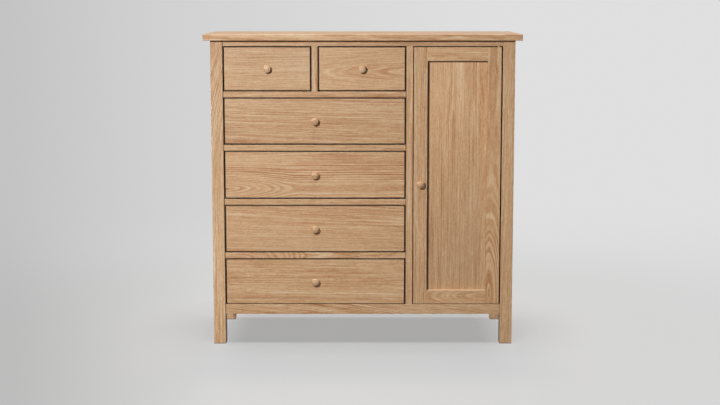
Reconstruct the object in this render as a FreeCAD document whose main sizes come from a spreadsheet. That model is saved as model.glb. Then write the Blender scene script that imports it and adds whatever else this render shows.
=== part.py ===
import FreeCAD, Part
import math
import os
import re
import Sketcher

# A chifforobe: a chest of six drawers and a hanging cupboard side by side in one post-and-rail case.
#
# Frame: millimetres, +X to the right, +Y to the back, +Z up. The drawers and the door face -Y.
# The origin is on the floor, below the middle of the top board.
# Every board is placed by three spans, (low, high) along X, Y and Z. A span is written in the words
# of the size sheet and of the levels worked out from it below.

SIZES = (
    # alias, millimetres, what it measures
    ("top_wide", 1200, "top board, left to right"),
    ("top_deep", 500, "top board, front to back"),
    ("top_thick", 24, "top board"),
    ("overall_high", 1190, "floor to the upper face of the top"),
    ("side_overhang", 25, "top past the posts, left and right"),
    ("front_overhang", 22, "top past the posts, in front"),
    ("post_side", 47, "square section of a post"),
    ("post_round", 2, "rounded arris down a post"),
    ("foot_arris", 1.5, "chamfer round the foot of a post"),
    ("rail_setback", 1.5, "rails behind the faces of the posts"),
    ("leg_clear", 116.5, "floor to the underside of the case"),
    ("bottom_rail_high", 38.7, "front rail below the door and drawers"),
    ("drawer_rail_high", 22.5, "rail between two rows of drawers"),
    ("top_rail_high", 21, "rail under the top"),
    ("second_row_high", 180, "drawer opening"),
    ("third_row_high", 185, "drawer opening"),
    ("fourth_row_high", 185, "drawer opening"),
    ("fifth_row_high", 179.3, "drawer opening"),
    ("drawer_bay_wide", 691.5, "opening of a wide drawer"),
    ("stile_wide", 27, "centre stile between drawers and door"),
    ("muntin_wide", 25, "upright between the two small drawers"),
    ("rail_thick", 22, "front bottom rail and side rails"),
    ("side_upper_high", 70, "upper rail of a side frame"),
    ("side_lower_high", 60, "lower rail of a side frame"),
    ("panel_thick", 8, "side panels"),
    ("side_recess", 6, "side panel behind its rails"),
    ("groove_deep", 6, "groove that holds a panel, no deeper than a shoulder"),
    ("back_setback", 4, "back frame in from the rear of the posts"),
    ("back_rail_thick", 18, "back frame"),
    ("back_shoulder", 4, "shoulder beside a tenon of the back frame"),
    ("back_stile_wide", 47, "upright of the back frame"),
    ("back_panel_thick", 6, "back panels"),
    ("floor_thick", 18, "case floor"),
    ("floor_housing", 6, "case floor let into the rails"),
    ("partition_thick", 19, "board between drawers and cupboard"),
    ("bearer_thick", 25, "rear bearer under the small drawers"),
    ("tenon_thick", 10, "all frame tenons"),
    ("tenon_long", 25, "tenons into the posts"),
    ("stub_long", 12, "tenons into thinner members"),
    ("shoulder", 6, "shoulder beside a tenon"),
    ("runner_wide", 24, "bearing of a runner under a drawer side"),
    ("guide_high", 25, "guide strip beside a drawer"),
    ("slide_play", 1, "guide to drawer side"),
    ("drawer_gap_side", 3.5, "drawer front to post, stile or muntin"),
    ("drawer_gap_above", 3, "drawer front to the rail above"),
    ("drawer_gap_below", 3.7, "drawer front to the rail below"),
    ("lowest_gap_below", 2.2, "bottom drawer front to the bottom rail"),
    ("drawer_front_thick", 20, "drawer fronts"),
    ("drawer_side_thick", 12, "drawer sides and backs"),
    ("drawer_headroom", 8, "drawer side to the rail above"),
    ("drawer_rear_clear", 13, "drawer side to the rear posts"),
    ("drawer_bottom_thick", 6, "drawer bottoms"),
    ("drawer_bottom_up", 10, "drawer bottom above the runner"),
    ("drawer_groove", 5, "groove that holds a drawer bottom"),
    ("drawer_back_inset", 10, "drawer back in from the ends of the sides"),
    ("drawer_back_drop", 8, "drawer back below the sides"),
    ("front_lap", 5, "drawer front covering the dovetails"),
    ("tail_flare", 2, "dovetail wider on each edge at its end"),
    ("arris", 1, "eased front edges of doors and drawers"),
    ("rail_arris", 0.6, "eased edges of the rails"),
    ("top_arris", 1.5, "eased edges of the top"),
    ("door_thick", 24, "door frame"),
    ("door_frame_wide", 52.5, "door stiles and rails"),
    ("door_panel_thick", 5, "door panel"),
    ("door_recess", 16, "door panel behind the door frame"),
    ("door_gap_knob", 2, "door to the centre stile"),
    ("door_gap_hinge", 3.5, "door to the right post"),
    ("door_gap_above", 3, "door to the top rail"),
    ("door_gap_below", 1.5, "door to the bottom rail"),
    ("door_tenon_long", 30, "tenons of the door rails"),
    ("door_knob_height", 622, "door knob above the floor"),
    ("knob_wide", 29, "turned wooden knob"),
    ("knob_long", 23.5, "knob out from its face"),
    ("knob_neck", 14, "narrowest part of a knob"),
    ("knob_foot", 18, "foot of a knob on its face"),
    ("knob_neck_out", 8, "neck of a knob out from its face"),
    ("knob_rim", 2.5, "rounding of the rim of a knob"),
    ("knob_rim_out", 17, "rim of a knob out from its face"),
    ("spigot_wide", 12, "spigot of a knob, through its board"),
    ("spigot_play", 0.05, "spigot of a knob to its bore, all round"),
    ("pivot_in", 12, "hinge axis in from the edge of the door"),
    ("pivot_back", 8, "hinge axis behind the face of the door"),
    ("pivot_pin", 5, "hinge pin"),
    ("pivot_play", 0.05, "hinge pin to its hole, all round"),
    ("pin_end_clear", 0.3, "hinge pin short of the far face of its leaf"),
    ("hinge_plate_thick", 2.5, "leaf of a pivot hinge"),
    ("hinge_plate_wide", 14, "leaf of a pivot hinge"),
    ("hinge_plate_long", 47, "leaf of a pivot hinge"),
    ("washer_wide", 10, "washer on a hinge pin"),
    ("washer_play", 0.05, "washer to the leaf it turns on"),
    ("hanging_rail_wide", 25, "hanging rail"),
    ("hanging_rail_wall", 1.5, "wall of the hanging rail"),
    ("hanging_rail_drop", 46, "hanging rail below the top"),
    ("socket_wide", 48, "flange of a rail socket"),
    ("socket_thick", 4, "flange of a rail socket"),
    ("socket_deep", 14, "collar of a rail socket"),
    ("socket_wall", 3, "collar of a rail socket"),
    ("socket_play", 0.1, "hanging rail to its socket, all round"),
    ("catch_long", 46, "magnetic catch"),
    ("catch_deep", 15, "magnetic catch"),
    ("catch_high", 13, "magnetic catch"),
    ("catch_in", 12, "magnetic catch in from the centre stile"),
    ("strike_long", 38, "strike plate of the catch"),
    ("strike_thick", 1.2, "strike plate of the catch"),
    ("strike_inset", 1, "strike plate inside the height of the catch and of the door"),
)

# Levels and places worked out from the sizes.
WORKED_OUT = {
    # case, left to right
    "post_outer": "top_wide / 2 - side_overhang",
    "post_inner": "post_outer - post_side",
    "bay_left": "0 - post_inner",
    "bay_right": "bay_left + drawer_bay_wide",
    "stile_right": "bay_right + stile_wide",
    "stile_middle": "bay_right + stile_wide / 2",
    "muntin_middle": "(bay_left + bay_right) / 2",
    "muntin_left": "muntin_middle - muntin_wide / 2",
    "muntin_right": "muntin_middle + muntin_wide / 2",
    "partition_left": "stile_middle - partition_thick / 2",
    "partition_right": "stile_middle + partition_thick / 2",
    "side_outer": "post_outer - rail_setback",
    "side_inner": "side_outer - rail_thick",
    "side_panel_outer": "side_outer - side_recess",
    "back_stile_left": "stile_middle - back_stile_wide / 2",
    "back_stile_right": "stile_middle + back_stile_wide / 2",
    # case, front to back
    "post_front": "front_overhang - top_deep / 2",
    "rail_front": "post_front + rail_setback",
    "bottom_rail_back": "rail_front + rail_thick",
    "front_frame_back": "post_front + post_side",
    "rear_face": "top_deep / 2",
    "rear_post_front": "rear_face - post_side",
    "back_frame_back": "rear_face - back_setback",
    "back_frame_front": "back_frame_back - back_rail_thick",
    "back_panel_front": "back_frame_back - (back_rail_thick + back_panel_thick) / 2",
    "bearer_front": "back_frame_front - bearer_thick",
    # levels
    "post_high": "overall_high - top_thick",
    "case_floor": "leg_clear + bottom_rail_high",
    "top_rail_low": "post_high - top_rail_high",
    "fifth_row_top": "case_floor + fifth_row_high",
    "fourth_row_floor": "fifth_row_top + drawer_rail_high",
    "fourth_row_top": "fourth_row_floor + fourth_row_high",
    "third_row_floor": "fourth_row_top + drawer_rail_high",
    "third_row_top": "third_row_floor + third_row_high",
    "second_row_floor": "third_row_top + drawer_rail_high",
    "second_row_top": "second_row_floor + second_row_high",
    "first_row_floor": "second_row_top + drawer_rail_high",
    "side_upper_low": "post_high - side_upper_high",
    "side_lower_top": "leg_clear + side_lower_high",
    # drawers
    "front_back": "rail_front + drawer_front_thick",
    "tail_end": "rail_front + front_lap",
    "drawer_rear": "rear_post_front - drawer_rear_clear",
    # door
    "door_left": "stile_right + door_gap_knob",
    "door_right": "post_inner - door_gap_hinge",
    "door_low": "case_floor + door_gap_below",
    "door_top": "top_rail_low - door_gap_above",
    "door_back": "rail_front + door_thick",
    "door_panel_face": "rail_front + door_recess",
    "door_panel_back": "door_panel_face + door_panel_thick",
    "pivot_x": "door_right - pivot_in",
    "pivot_y": "rail_front + pivot_back",
    "catch_x": "stile_right + catch_in",
    # cupboard
    "hanging_rail_y": "(bottom_rail_back + back_frame_front) / 2",
    "hanging_rail_z": "post_high - hanging_rail_drop",
    # knobs, measured out from the board: each curve runs smoothly into the next
    "rim_x": "knob_wide / 2 - knob_rim",
    "dome_middle": "((knob_long - knob_rim)^2 - rim_x^2 - knob_rim_out^2)"
                   " / (2 * (knob_long - knob_rim - knob_rim_out))",
    "dome_radius": "knob_long - dome_middle",
    "dome_to_rim": "dome_radius - knob_rim",
    "neck_to_rim_x": "rim_x - knob_neck / 2",
    "cove_radius": "(neck_to_rim_x^2 + (knob_rim_out - knob_neck_out)^2 - knob_rim^2)"
                   " / (2 * (neck_to_rim_x + knob_rim))",
    "cove_to_rim": "cove_radius + knob_rim",
    "foot_radius": "(((knob_foot - knob_neck) / 2)^2 + knob_neck_out^2) / (knob_foot - knob_neck)",
}

PARTS_FOLDER = "parts"
NEAR = 1e-4  # two places this close are the same

doc = FreeCAD.newDocument("Chifforobe")
sheet = doc.addObject("Spreadsheet::Sheet", "Sizes")
nodes = []


def fill_sheet():
    """Write the driving sizes into the sheet, one aliased cell each."""
    for row, (alias, size, meaning) in enumerate(SIZES, start=1):
        sheet.set(f"A{row}", meaning)
        sheet.set(f"B{row}", str(size))
        sheet.setAlias(f"B{row}", alias)
    doc.recompute()


def formula(words):
    """Turn words of the sheet and worked-out levels into an expression of the document."""
    def cell(match):
        word = match.group(0)
        return f"({formula(WORKED_OUT[word])})" if word in WORKED_OUT else f"Sizes.{word}"
    return re.sub(r"[a-z][a-z_]*", cell, words)


def value(words):
    """The number that the words give now."""
    return float(sheet.evalExpression(formula(words)))


def bind(thing, attribute, words):
    """Tie one size of a document object to the sheet."""
    thing.setExpression(attribute, formula(words))


def mirrored(span):
    """The same span on the other side of the middle."""
    low, high = span
    return f"0 - ({high})", f"0 - ({low})"


def on_side(side, span):
    """A span written for the right-hand side, kept or mirrored for the side asked for."""
    return span if side == "right" else mirrored(span)


def about(middle, size):
    """A span of a size about its middle."""
    return f"({middle}) - ({size}) / 2", f"({middle}) + ({size}) / 2"


# ---- making and cutting bodies -------------------------------------------------------------------

def new_body(name):
    body = doc.addObject("PartDesign::Body", name)
    body.Label = name
    return body


def node(thing):
    """Keep a body or a group of bodies as one sub-part, to be written to its own file."""
    nodes.append(thing)
    return thing


def group(name, bodies):
    """Several separate bodies of one kind that share a node."""
    bundle = doc.addObject("Part::Compound", name)
    bundle.Label = name
    bundle.Links = bodies
    return node(bundle)


def block(body, x, y, z, kind="AdditiveBox"):
    """Add a box to a body, between the given spans."""
    box = body.newObject(f"PartDesign::{kind}", f"{body.Name}_{kind}")
    for side, (low, high) in zip(("Length", "Width", "Height"), (x, y, z)):
        bind(box, side, f"({high}) - ({low})")
    for axis, (low, high) in zip("xyz", (x, y, z)):
        bind(box, f"Placement.Base.{axis}", low)
    return box


def cut(body, x, y, z):
    """Cut a box out of a body: a mortise, groove, housing or recess."""
    return block(body, x, y, z, "SubtractiveBox")


def disc(body, x, y, z, diameter, kind="AdditiveCylinder"):
    """Add an upright cylinder about (x, y), over the span z."""
    cylinder = body.newObject(f"PartDesign::{kind}", f"{body.Name}_{kind}")
    bind(cylinder, "Radius", f"({diameter}) / 2")
    bind(cylinder, "Height", f"({z[1]}) - ({z[0]})")
    bind(cylinder, "Placement.Base.x", x)
    bind(cylinder, "Placement.Base.y", y)
    bind(cylinder, "Placement.Base.z", z[0])
    return cylinder


def origin_feature(body, role):
    return next(feature for feature in body.Origin.OriginFeatures if feature.Role == role)


def arc_middle(start, end, radius, side):
    """A point half-way along the shorter arc from start to end, bulging to the left if side is +1."""
    chord = end - start
    leftward = FreeCAD.Vector(-chord.y, chord.x, 0).normalize()
    rise = radius - math.sqrt(radius ** 2 - (chord.Length / 2) ** 2)
    return start + chord / 2 + leftward * rise * side


def profile(body, role, corners, arcs=None, offset=None):
    """A closed sketch on an origin plane. corners are (across, up) in words of the sheet.

    arcs gives, by the number of the corner that an arc starts from, the arc's radius in words and
    the side it bulges to on the way to the next corner, +1 for left and -1 for right.
    """
    arcs = arcs or {}
    sketch = body.newObject("Sketcher::SketchObject", f"{body.Name}_profile")
    sketch.AttachmentSupport = [(origin_feature(body, role), "")]
    sketch.MapMode = "FlatFace"
    if offset:
        bind(sketch, "AttachmentOffset.Base.z", offset)
    points = [FreeCAD.Vector(value(across), value(up), 0) for across, up in corners]
    count = len(points)
    ends = []
    for i, start in enumerate(points):
        end = points[(i + 1) % count]
        if i in arcs:
            radius, side = arcs[i]
            sketch.addGeometry(Part.Arc(start, arc_middle(start, end, value(radius), side), end), False)
        else:
            sketch.addGeometry(Part.LineSegment(start, end), False)
        # an arc is kept anticlockwise, so its first end can be the one it was drawn to
        kept_way = sketch.getPoint(i, 1).distanceToPoint(start) < NEAR
        ends.append((1, 2) if kept_way else (2, 1))
    for i in range(count):
        following = (i + 1) % count
        sketch.addConstraint(Sketcher.Constraint("Coincident", i, ends[i][1], following, ends[following][0]))
    for i, (across, up) in enumerate(corners):
        for kind, words, size in (("DistanceX", across, points[i].x), ("DistanceY", up, points[i].y)):
            number = sketch.addConstraint(Sketcher.Constraint(kind, -1, 1, i, ends[i][0], size))
            bind(sketch, f"Constraints[{number}]", words)
    for i, (radius, _) in arcs.items():
        number = sketch.addConstraint(Sketcher.Constraint("Radius", i, value(radius)))
        bind(sketch, f"Constraints[{number}]", radius)
    return sketch


def pad(body, sketch, length, kind="Pad"):
    feature = body.newObject(f"PartDesign::{kind}", f"{body.Name}_{kind}")
    feature.Profile = sketch
    bind(feature, "Length", length)
    return feature


def turned(body, sketch):
    """Revolve a sketch about its own upright axis."""
    feature = body.newObject("PartDesign::Revolution", f"{body.Name}_turned")
    feature.Profile = sketch
    feature.ReferenceAxis = (sketch, ["V_Axis"])
    feature.Angle = 360
    return feature


def ease(body, size, is_eased, kind="Chamfer"):
    """Chamfer or round the straight edges of a body that is_eased picks, from their two ends."""
    doc.recompute()
    base = body.Tip
    chosen = []
    for number, edge in enumerate(base.Shape.Edges, start=1):
        ends = [vertex.Point for vertex in edge.Vertexes]
        if len(ends) == 2 and is_eased(*ends):
            chosen.append(f"Edge{number}")
    feature = body.newObject(f"PartDesign::{kind}", f"{body.Name}_{kind}")
    feature.Base = (base, chosen)
    bind(feature, "Radius" if kind == "Fillet" else "Size", size)
    return feature


def lies_at(axis, words):
    """A test for edges that lie in a plane across an axis."""
    place = value(words)
    return lambda a, b: all(abs(getattr(end, axis) - place) < NEAR for end in (a, b))


def runs_along(axis):
    others = [name for name in "xyz" if name != axis]
    return lambda a, b: all(abs(getattr(a, name) - getattr(b, name)) < NEAR for name in others)


def both(*tests):
    return lambda a, b: all(test(a, b) for test in tests)


# ---- joints that two pieces share ----------------------------------------------------------------

POSTS = {
    "front_left_post": ("left", "front"),
    "front_right_post": ("right", "front"),
    "rear_left_post": ("left", "rear"),
    "rear_right_post": ("right", "rear"),
}
FRAME_TENON_Y = ("rail_front + shoulder", "rail_front + shoulder + tenon_thick")
DEEP_TENON_Y = ("rail_front + shoulder", "front_frame_back - shoulder")
BACK_TENON_Y = ("back_frame_front + back_shoulder", "back_frame_back - back_shoulder")
SIDE_TENON_X = ("side_outer - shoulder - tenon_thick", "side_outer - shoulder")
BACK_PANEL_Y = ("back_panel_front", "back_panel_front + back_panel_thick")
SIDE_PANEL_X = ("side_panel_outer - panel_thick", "side_panel_outer")
SIDE_RAILS = {
    "upper": ("side_upper_low", "post_high"),
    "lower": ("leg_clear", "side_lower_top"),
}
PANEL_Z = ("side_lower_top - groove_deep", "side_upper_low + groove_deep")
BEARER_Z = ("second_row_top", "first_row_floor")
DRAWER_RAILS = {
    "first_drawer_rail": ("second_row_top", "first_row_floor"),
    "second_drawer_rail": ("third_row_top", "second_row_floor"),
    "third_drawer_rail": ("fourth_row_top", "third_row_floor"),
    "fourth_drawer_rail": ("fifth_row_top", "fourth_row_floor"),
}


def tenon_height(span):
    """A tenon as high as its rail, less a shoulder above and below."""
    low, high = span
    return f"({low}) + shoulder", f"({high}) - shoulder"


def beyond(edge, length, outward):
    """The span from an edge to a length past it, outward being +1 or -1 along the axis."""
    return (edge, f"({edge}) + {length}") if outward > 0 else (f"({edge}) - {length}", edge)


def front_post_mortises(side):
    """Mortises that the front rails need in a front post, as spans."""
    past_post = on_side(side, beyond("post_inner", "tenon_long", 1))
    mortises = [
        (past_post, DEEP_TENON_Y, tenon_height(("top_rail_low", "post_high"))),
        (past_post, FRAME_TENON_Y, tenon_height(("leg_clear", "case_floor"))),
    ]
    if side == "left":
        mortises += [(past_post, DEEP_TENON_Y, tenon_height(z)) for z in DRAWER_RAILS.values()]
    return mortises


def rear_post_mortises(side):
    past_post = on_side(side, beyond("post_inner", "tenon_long", 1))
    mortises = [(past_post, BACK_TENON_Y, tenon_height(z)) for z in SIDE_RAILS.values()]
    if side == "left":
        short = on_side(side, beyond("post_inner", "stub_long", 1))
        mortises.append((short, ("bearer_front + shoulder", "back_frame_front - shoulder"),
                         tenon_height(BEARER_Z)))
    return mortises


# ---- the case ------------------------------------------------------------------------------------

def make_top():
    body = new_body("top_panel")
    half = "top_wide / 2"
    block(body, (f"0 - {half}", half), ("0 - top_deep / 2", "top_deep / 2"), ("post_high", "overall_high"))
    ease(body, "top_arris", lambda a, b: True)
    return node(body)


def make_post(name):
    """A square post with rounded arrises, mortised for the rails and grooved for the panels."""
    side, end = POSTS[name]
    body = new_body(name)
    x = on_side(side, ("post_inner", "post_outer"))
    y = ("post_front", "front_frame_back") if end == "front" else ("rear_post_front", "rear_face")
    block(body, x, y, ("0", "post_high"))
    ease(body, "post_round", runs_along("z"), "Fillet")
    ease(body, "foot_arris", lies_at("z", "0"))
    mortises = front_post_mortises(side) if end == "front" else rear_post_mortises(side)
    facing = beyond("front_frame_back", "tenon_long", -1)
    groove = beyond("front_frame_back", "groove_deep", -1)
    if end == "rear":
        facing = beyond("rear_post_front", "tenon_long", 1)
        groove = beyond("rear_post_front", "groove_deep", 1)
        mortises.append((on_side(side, beyond("post_inner", "groove_deep", 1)), BACK_PANEL_Y, PANEL_Z))
    for z in SIDE_RAILS.values():
        mortises.append((on_side(side, SIDE_TENON_X), facing, tenon_height(z)))
    mortises.append((on_side(side, SIDE_PANEL_X), groove, PANEL_Z))
    for spans in mortises:
        cut(body, *spans)
    return node(body)


def make_side_rail(side, level):
    """An upper or lower rail between a front and a rear post, tenoned and grooved."""
    z = SIDE_RAILS[level]
    body = new_body(f"{side}_{level}_side_rail")
    block(body, on_side(side, ("side_inner", "side_outer")), ("front_frame_back", "rear_post_front"), z)
    block(body, on_side(side, SIDE_TENON_X),
          ("front_frame_back - tenon_long", "rear_post_front + tenon_long"), tenon_height(z))
    groove_z = beyond(z[0], "groove_deep", 1) if level == "upper" else beyond(z[1], "groove_deep", -1)
    cut(body, on_side(side, SIDE_PANEL_X), ("front_frame_back", "rear_post_front"), groove_z)
    if level == "lower":
        cut(body, on_side(side, beyond("side_inner", "floor_housing", 1)),
            ("front_frame_back", "rear_post_front"), ("case_floor - floor_thick", "case_floor"))
    return body


def make_side_panel(side):
    body = new_body(f"{side}_side_panel")
    block(body, on_side(side, SIDE_PANEL_X),
          ("front_frame_back - groove_deep", "rear_post_front + groove_deep"), PANEL_Z)
    return body


def make_front_top_rail():
    body = new_body("front_top_rail")
    z = ("top_rail_low", "post_high")
    block(body, ("bay_left", "post_inner"), ("rail_front", "front_frame_back"), z)
    ease(body, "rail_arris", both(runs_along("x"), lies_at("y", "rail_front"), lies_at("z", "top_rail_low")))
    block(body, ("bay_left - tenon_long", "post_inner + tenon_long"), DEEP_TENON_Y, tenon_height(z))
    up_mortise = beyond("top_rail_low", "stub_long", 1)
    cut(body, about("stile_middle", "tenon_thick"), DEEP_TENON_Y, up_mortise)
    cut(body, about("muntin_middle", "tenon_thick"), DEEP_TENON_Y, up_mortise)
    cut_hinge_leaf(body, "post_inner", beyond("top_rail_low", "hinge_plate_thick", 1))
    return node(body)


def make_front_bottom_rail():
    body = new_body("front_bottom_rail")
    z = ("leg_clear", "case_floor")
    block(body, ("bay_left", "post_inner"), ("rail_front", "bottom_rail_back"), z)
    ease(body, "rail_arris", both(runs_along("x"), lies_at("y", "rail_front")))
    block(body, ("bay_left - tenon_long", "post_inner + tenon_long"), FRAME_TENON_Y, tenon_height(z))
    cut(body, about("stile_middle", "tenon_thick"), FRAME_TENON_Y, beyond("case_floor", "stub_long", -1))
    cut(body, ("bay_left", "post_inner"), beyond("bottom_rail_back", "floor_housing", -1),
        ("case_floor - floor_thick", "case_floor"))
    cut_hinge_leaf(body, "post_inner", beyond("case_floor", "hinge_plate_thick", -1))
    return node(body)


def make_drawer_rail(name):
    """A rail laid flat between the left post and the centre stile."""
    z = DRAWER_RAILS[name]
    body = new_body(name)
    block(body, ("bay_left", "bay_right"), ("rail_front", "front_frame_back"), z)
    ease(body, "rail_arris", both(runs_along("x"), lies_at("y", "rail_front")))
    block(body, ("bay_left - tenon_long", "bay_right + stub_long"), DEEP_TENON_Y, tenon_height(z))
    if name == "first_drawer_rail":
        cut(body, about("muntin_middle", "tenon_thick"), DEEP_TENON_Y, beyond(z[1], "stub_long", -1))
    return body


def make_centre_stile():
    body = new_body("centre_stile")
    block(body, ("bay_right", "stile_right"), ("rail_front", "front_frame_back"),
          ("case_floor", "top_rail_low"))
    block(body, about("stile_middle", "tenon_thick"), DEEP_TENON_Y, beyond("top_rail_low", "stub_long", 1))
    block(body, about("stile_middle", "tenon_thick"), FRAME_TENON_Y, beyond("case_floor", "stub_long", -1))
    for z in DRAWER_RAILS.values():
        cut(body, beyond("bay_right", "stub_long", 1), DEEP_TENON_Y, tenon_height(z))
    return node(body)


def make_top_muntin():
    body = new_body("top_muntin")
    block(body, ("muntin_left", "muntin_right"), ("rail_front", "front_frame_back"),
          ("first_row_floor", "top_rail_low"))
    block(body, about("muntin_middle", "tenon_thick"), DEEP_TENON_Y,
          ("first_row_floor - stub_long", "top_rail_low + stub_long"))
    return node(body)


def make_partition():
    body = new_body("partition_panel")
    block(body, ("partition_left", "partition_right"), ("front_frame_back", "back_frame_front"),
          ("case_floor", "post_high"))
    return node(body)


def make_case_floor():
    """One board over the whole case, let into the rails and notched round the posts."""
    body = new_body("case_floor")
    reach = "side_inner + floor_housing"
    block(body, (f"0 - ({reach})", reach),
          ("bottom_rail_back - floor_housing", "back_frame_front + floor_housing"),
          ("case_floor - floor_thick", "case_floor"))
    for side in ("left", "right"):
        notch_x = on_side(side, ("post_inner", reach))
        for y in (("bottom_rail_back - floor_housing", "front_frame_back"),
                  ("rear_post_front", "back_frame_front + floor_housing")):
            cut(body, notch_x, y, ("case_floor - floor_thick", "case_floor"))
    return node(body)


def make_back_rail(level):
    z = SIDE_RAILS[level]
    body = new_body(f"back_{level}_rail")
    block(body, ("bay_left", "post_inner"), ("back_frame_front", "back_frame_back"), z)
    block(body, ("bay_left - tenon_long", "post_inner + tenon_long"), BACK_TENON_Y, tenon_height(z))
    inward = beyond(z[0], "groove_deep", 1) if level == "upper" else beyond(z[1], "groove_deep", -1)
    stub = beyond(z[0], "stub_long", 1) if level == "upper" else beyond(z[1], "stub_long", -1)
    cut(body, ("bay_left", "post_inner"), BACK_PANEL_Y, inward)
    cut(body, ("back_stile_left", "back_stile_right"), BACK_TENON_Y, stub)
    if level == "lower":
        cut(body, ("bay_left", "post_inner"), beyond("back_frame_front", "floor_housing", 1),
            ("case_floor - floor_thick", "case_floor"))
    return body


def make_back_stile():
    body = new_body("back_centre_stile")
    block(body, ("back_stile_left", "back_stile_right"), ("back_frame_front", "back_frame_back"),
          ("side_lower_top", "side_upper_low"))
    block(body, ("back_stile_left", "back_stile_right"), BACK_TENON_Y,
          ("side_lower_top - stub_long", "side_upper_low + stub_long"))
    for x in (beyond("back_stile_left", "groove_deep", 1), beyond("back_stile_right", "groove_deep", -1)):
        cut(body, x, BACK_PANEL_Y, PANEL_Z)
    return body


def make_back_panel(name, left, right):
    body = new_body(name)
    block(body, (f"{left} - groove_deep", f"{right} + groove_deep"), BACK_PANEL_Y, PANEL_Z)
    return body


def make_rear_bearer():
    """The cross bar that carries the rear end of the runner between the small drawers."""
    body = new_body("rear_bearer")
    y = ("bearer_front", "back_frame_front")
    block(body, ("bay_left", "partition_left"), y, BEARER_Z)
    block(body, beyond("bay_left", "stub_long", -1), (f"{y[0]} + shoulder", f"{y[1]} - shoulder"),
          tenon_height(BEARER_Z))
    return node(body)


# ---- runners, guides and kickers -----------------------------------------------------------------

RUNNER_Y = ("front_frame_back", "rear_post_front")


def make_runner(name, bearing_x, guide_x, row_floor):
    """A runner that a drawer side slides on, with a strip that guides the side."""
    body = new_body(name)
    if bearing_x:
        block(body, bearing_x, RUNNER_Y, (f"{row_floor} - drawer_rail_high", row_floor))
    block(body, guide_x, RUNNER_Y, (row_floor, f"{row_floor} + guide_high"))
    return body


def make_runners():
    guide_left = ("0 - side_inner", "bay_left + drawer_gap_side - slide_play")
    guide_right = ("bay_right - drawer_gap_side + slide_play", "partition_left")
    bearing_left = ("0 - side_inner", "bay_left + runner_wide")
    bearing_right = ("partition_left - runner_wide", "partition_left")
    guide_centre = ("muntin_left - drawer_gap_side + slide_play",
                    "muntin_right + drawer_gap_side - slide_play")
    bearing_centre = ("muntin_left - runner_wide", "muntin_right + runner_wide")
    runners = [
        make_runner("centre_runner", bearing_centre, guide_centre, "first_row_floor"),
        make_runner("left_guide_fifth_row", None, guide_left, "case_floor"),
        make_runner("right_guide_fifth_row", None, guide_right, "case_floor"),
    ]
    for row in ("first", "second", "third", "fourth"):
        runners.append(make_runner(f"left_runner_{row}_row", bearing_left, guide_left, f"{row}_row_floor"))
        runners.append(make_runner(f"right_runner_{row}_row", bearing_right, guide_right, f"{row}_row_floor"))
    return group("drawer_runners", runners)


def make_kickers():
    """Strips under the top that stop the small drawers from tipping as they come out."""
    spans = {
        "left": ("bay_left", "bay_left + runner_wide"),
        "centre": ("muntin_left - runner_wide", "muntin_right + runner_wide"),
        "right": ("partition_left - runner_wide", "partition_left"),
    }
    kickers = []
    for place, x in spans.items():
        body = new_body(f"{place}_kicker")
        block(body, x, ("front_frame_back", "back_frame_front"), ("top_rail_low", "post_high"))
        kickers.append(body)
    return group("top_kickers", kickers)


# ---- cupboard fittings ---------------------------------------------------------------------------

def place_along_x(body, x, words_y, words_z, outward):
    """Stand a turned body, made about its own Y axis, along X. outward is +1 or -1."""
    turn = FreeCAD.Rotation(FreeCAD.Vector(0, 0, 1), -90 * outward)
    body.Placement = FreeCAD.Placement(FreeCAD.Vector(0, 0, 0), turn)
    bind(body, "Placement.Base.x", x)
    bind(body, "Placement.Base.y", words_y)
    bind(body, "Placement.Base.z", words_z)


def make_hanging_rail():
    """A steel tube across the cupboard, its ends in two flanged sockets."""
    body = new_body("hanging_rail")
    half = "(side_inner - partition_right) / 2 - socket_thick"
    outer = "hanging_rail_wide / 2"
    inner = "hanging_rail_wide / 2 - hanging_rail_wall"
    corners = [(inner, f"0 - ({half})"), (outer, f"0 - ({half})"), (outer, half), (inner, half)]
    turned(body, profile(body, "XY_Plane", corners))
    place_along_x(body, "(side_inner + partition_right) / 2", "hanging_rail_y", "hanging_rail_z", 1)
    return node(body)


def make_rail_sockets():
    sockets = []
    bore = "hanging_rail_wide / 2 + socket_play"
    for name, x, outward in (("left_socket", "partition_right", 1), ("right_socket", "side_inner", -1)):
        body = new_body(name)
        corners = [
            ("0", "0"), ("socket_wide / 2", "0"), ("socket_wide / 2", "socket_thick"),
            (f"{bore} + socket_wall", "socket_thick"), (f"{bore} + socket_wall", "socket_deep"),
            (bore, "socket_deep"), (bore, "socket_thick"), ("0", "socket_thick"),
        ]
        turned(body, profile(body, "XY_Plane", corners))
        place_along_x(body, x, "hanging_rail_y", "hanging_rail_z", outward)
        sockets.append(body)
    return group("rail_sockets", sockets)


def make_catch():
    """A magnetic catch under the top rail and its strike plate on the door."""
    catch = new_body("door_catch")
    x = ("catch_x", "catch_x + catch_long")
    block(catch, x, ("door_back + strike_thick", "door_back + strike_thick + catch_deep"),
          ("top_rail_low - catch_high", "top_rail_low"))
    node(catch)
    strike = new_body("catch_strike_plate")
    block(strike, about("catch_x + catch_long / 2", "strike_long"), ("door_back", "door_back + strike_thick"),
          ("top_rail_low - catch_high + strike_inset", "door_top - strike_inset"))
    return node(strike)


# ---- pivot hinges --------------------------------------------------------------------------------

def leaf(body, x_end, z, box, cylinder):
    """The outline of a hinge leaf: square at x_end, round at the other end, about the pivot."""
    round_middle = "pivot_x - hinge_plate_long + hinge_plate_wide"
    block(body, (round_middle, x_end), about("pivot_y", "hinge_plate_wide"), z, box)
    disc(body, round_middle, "pivot_y", z, "hinge_plate_wide", cylinder)


def cut_hinge_leaf(body, x_end, z):
    leaf(body, x_end, z, "SubtractiveBox", "SubtractiveCylinder")


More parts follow.
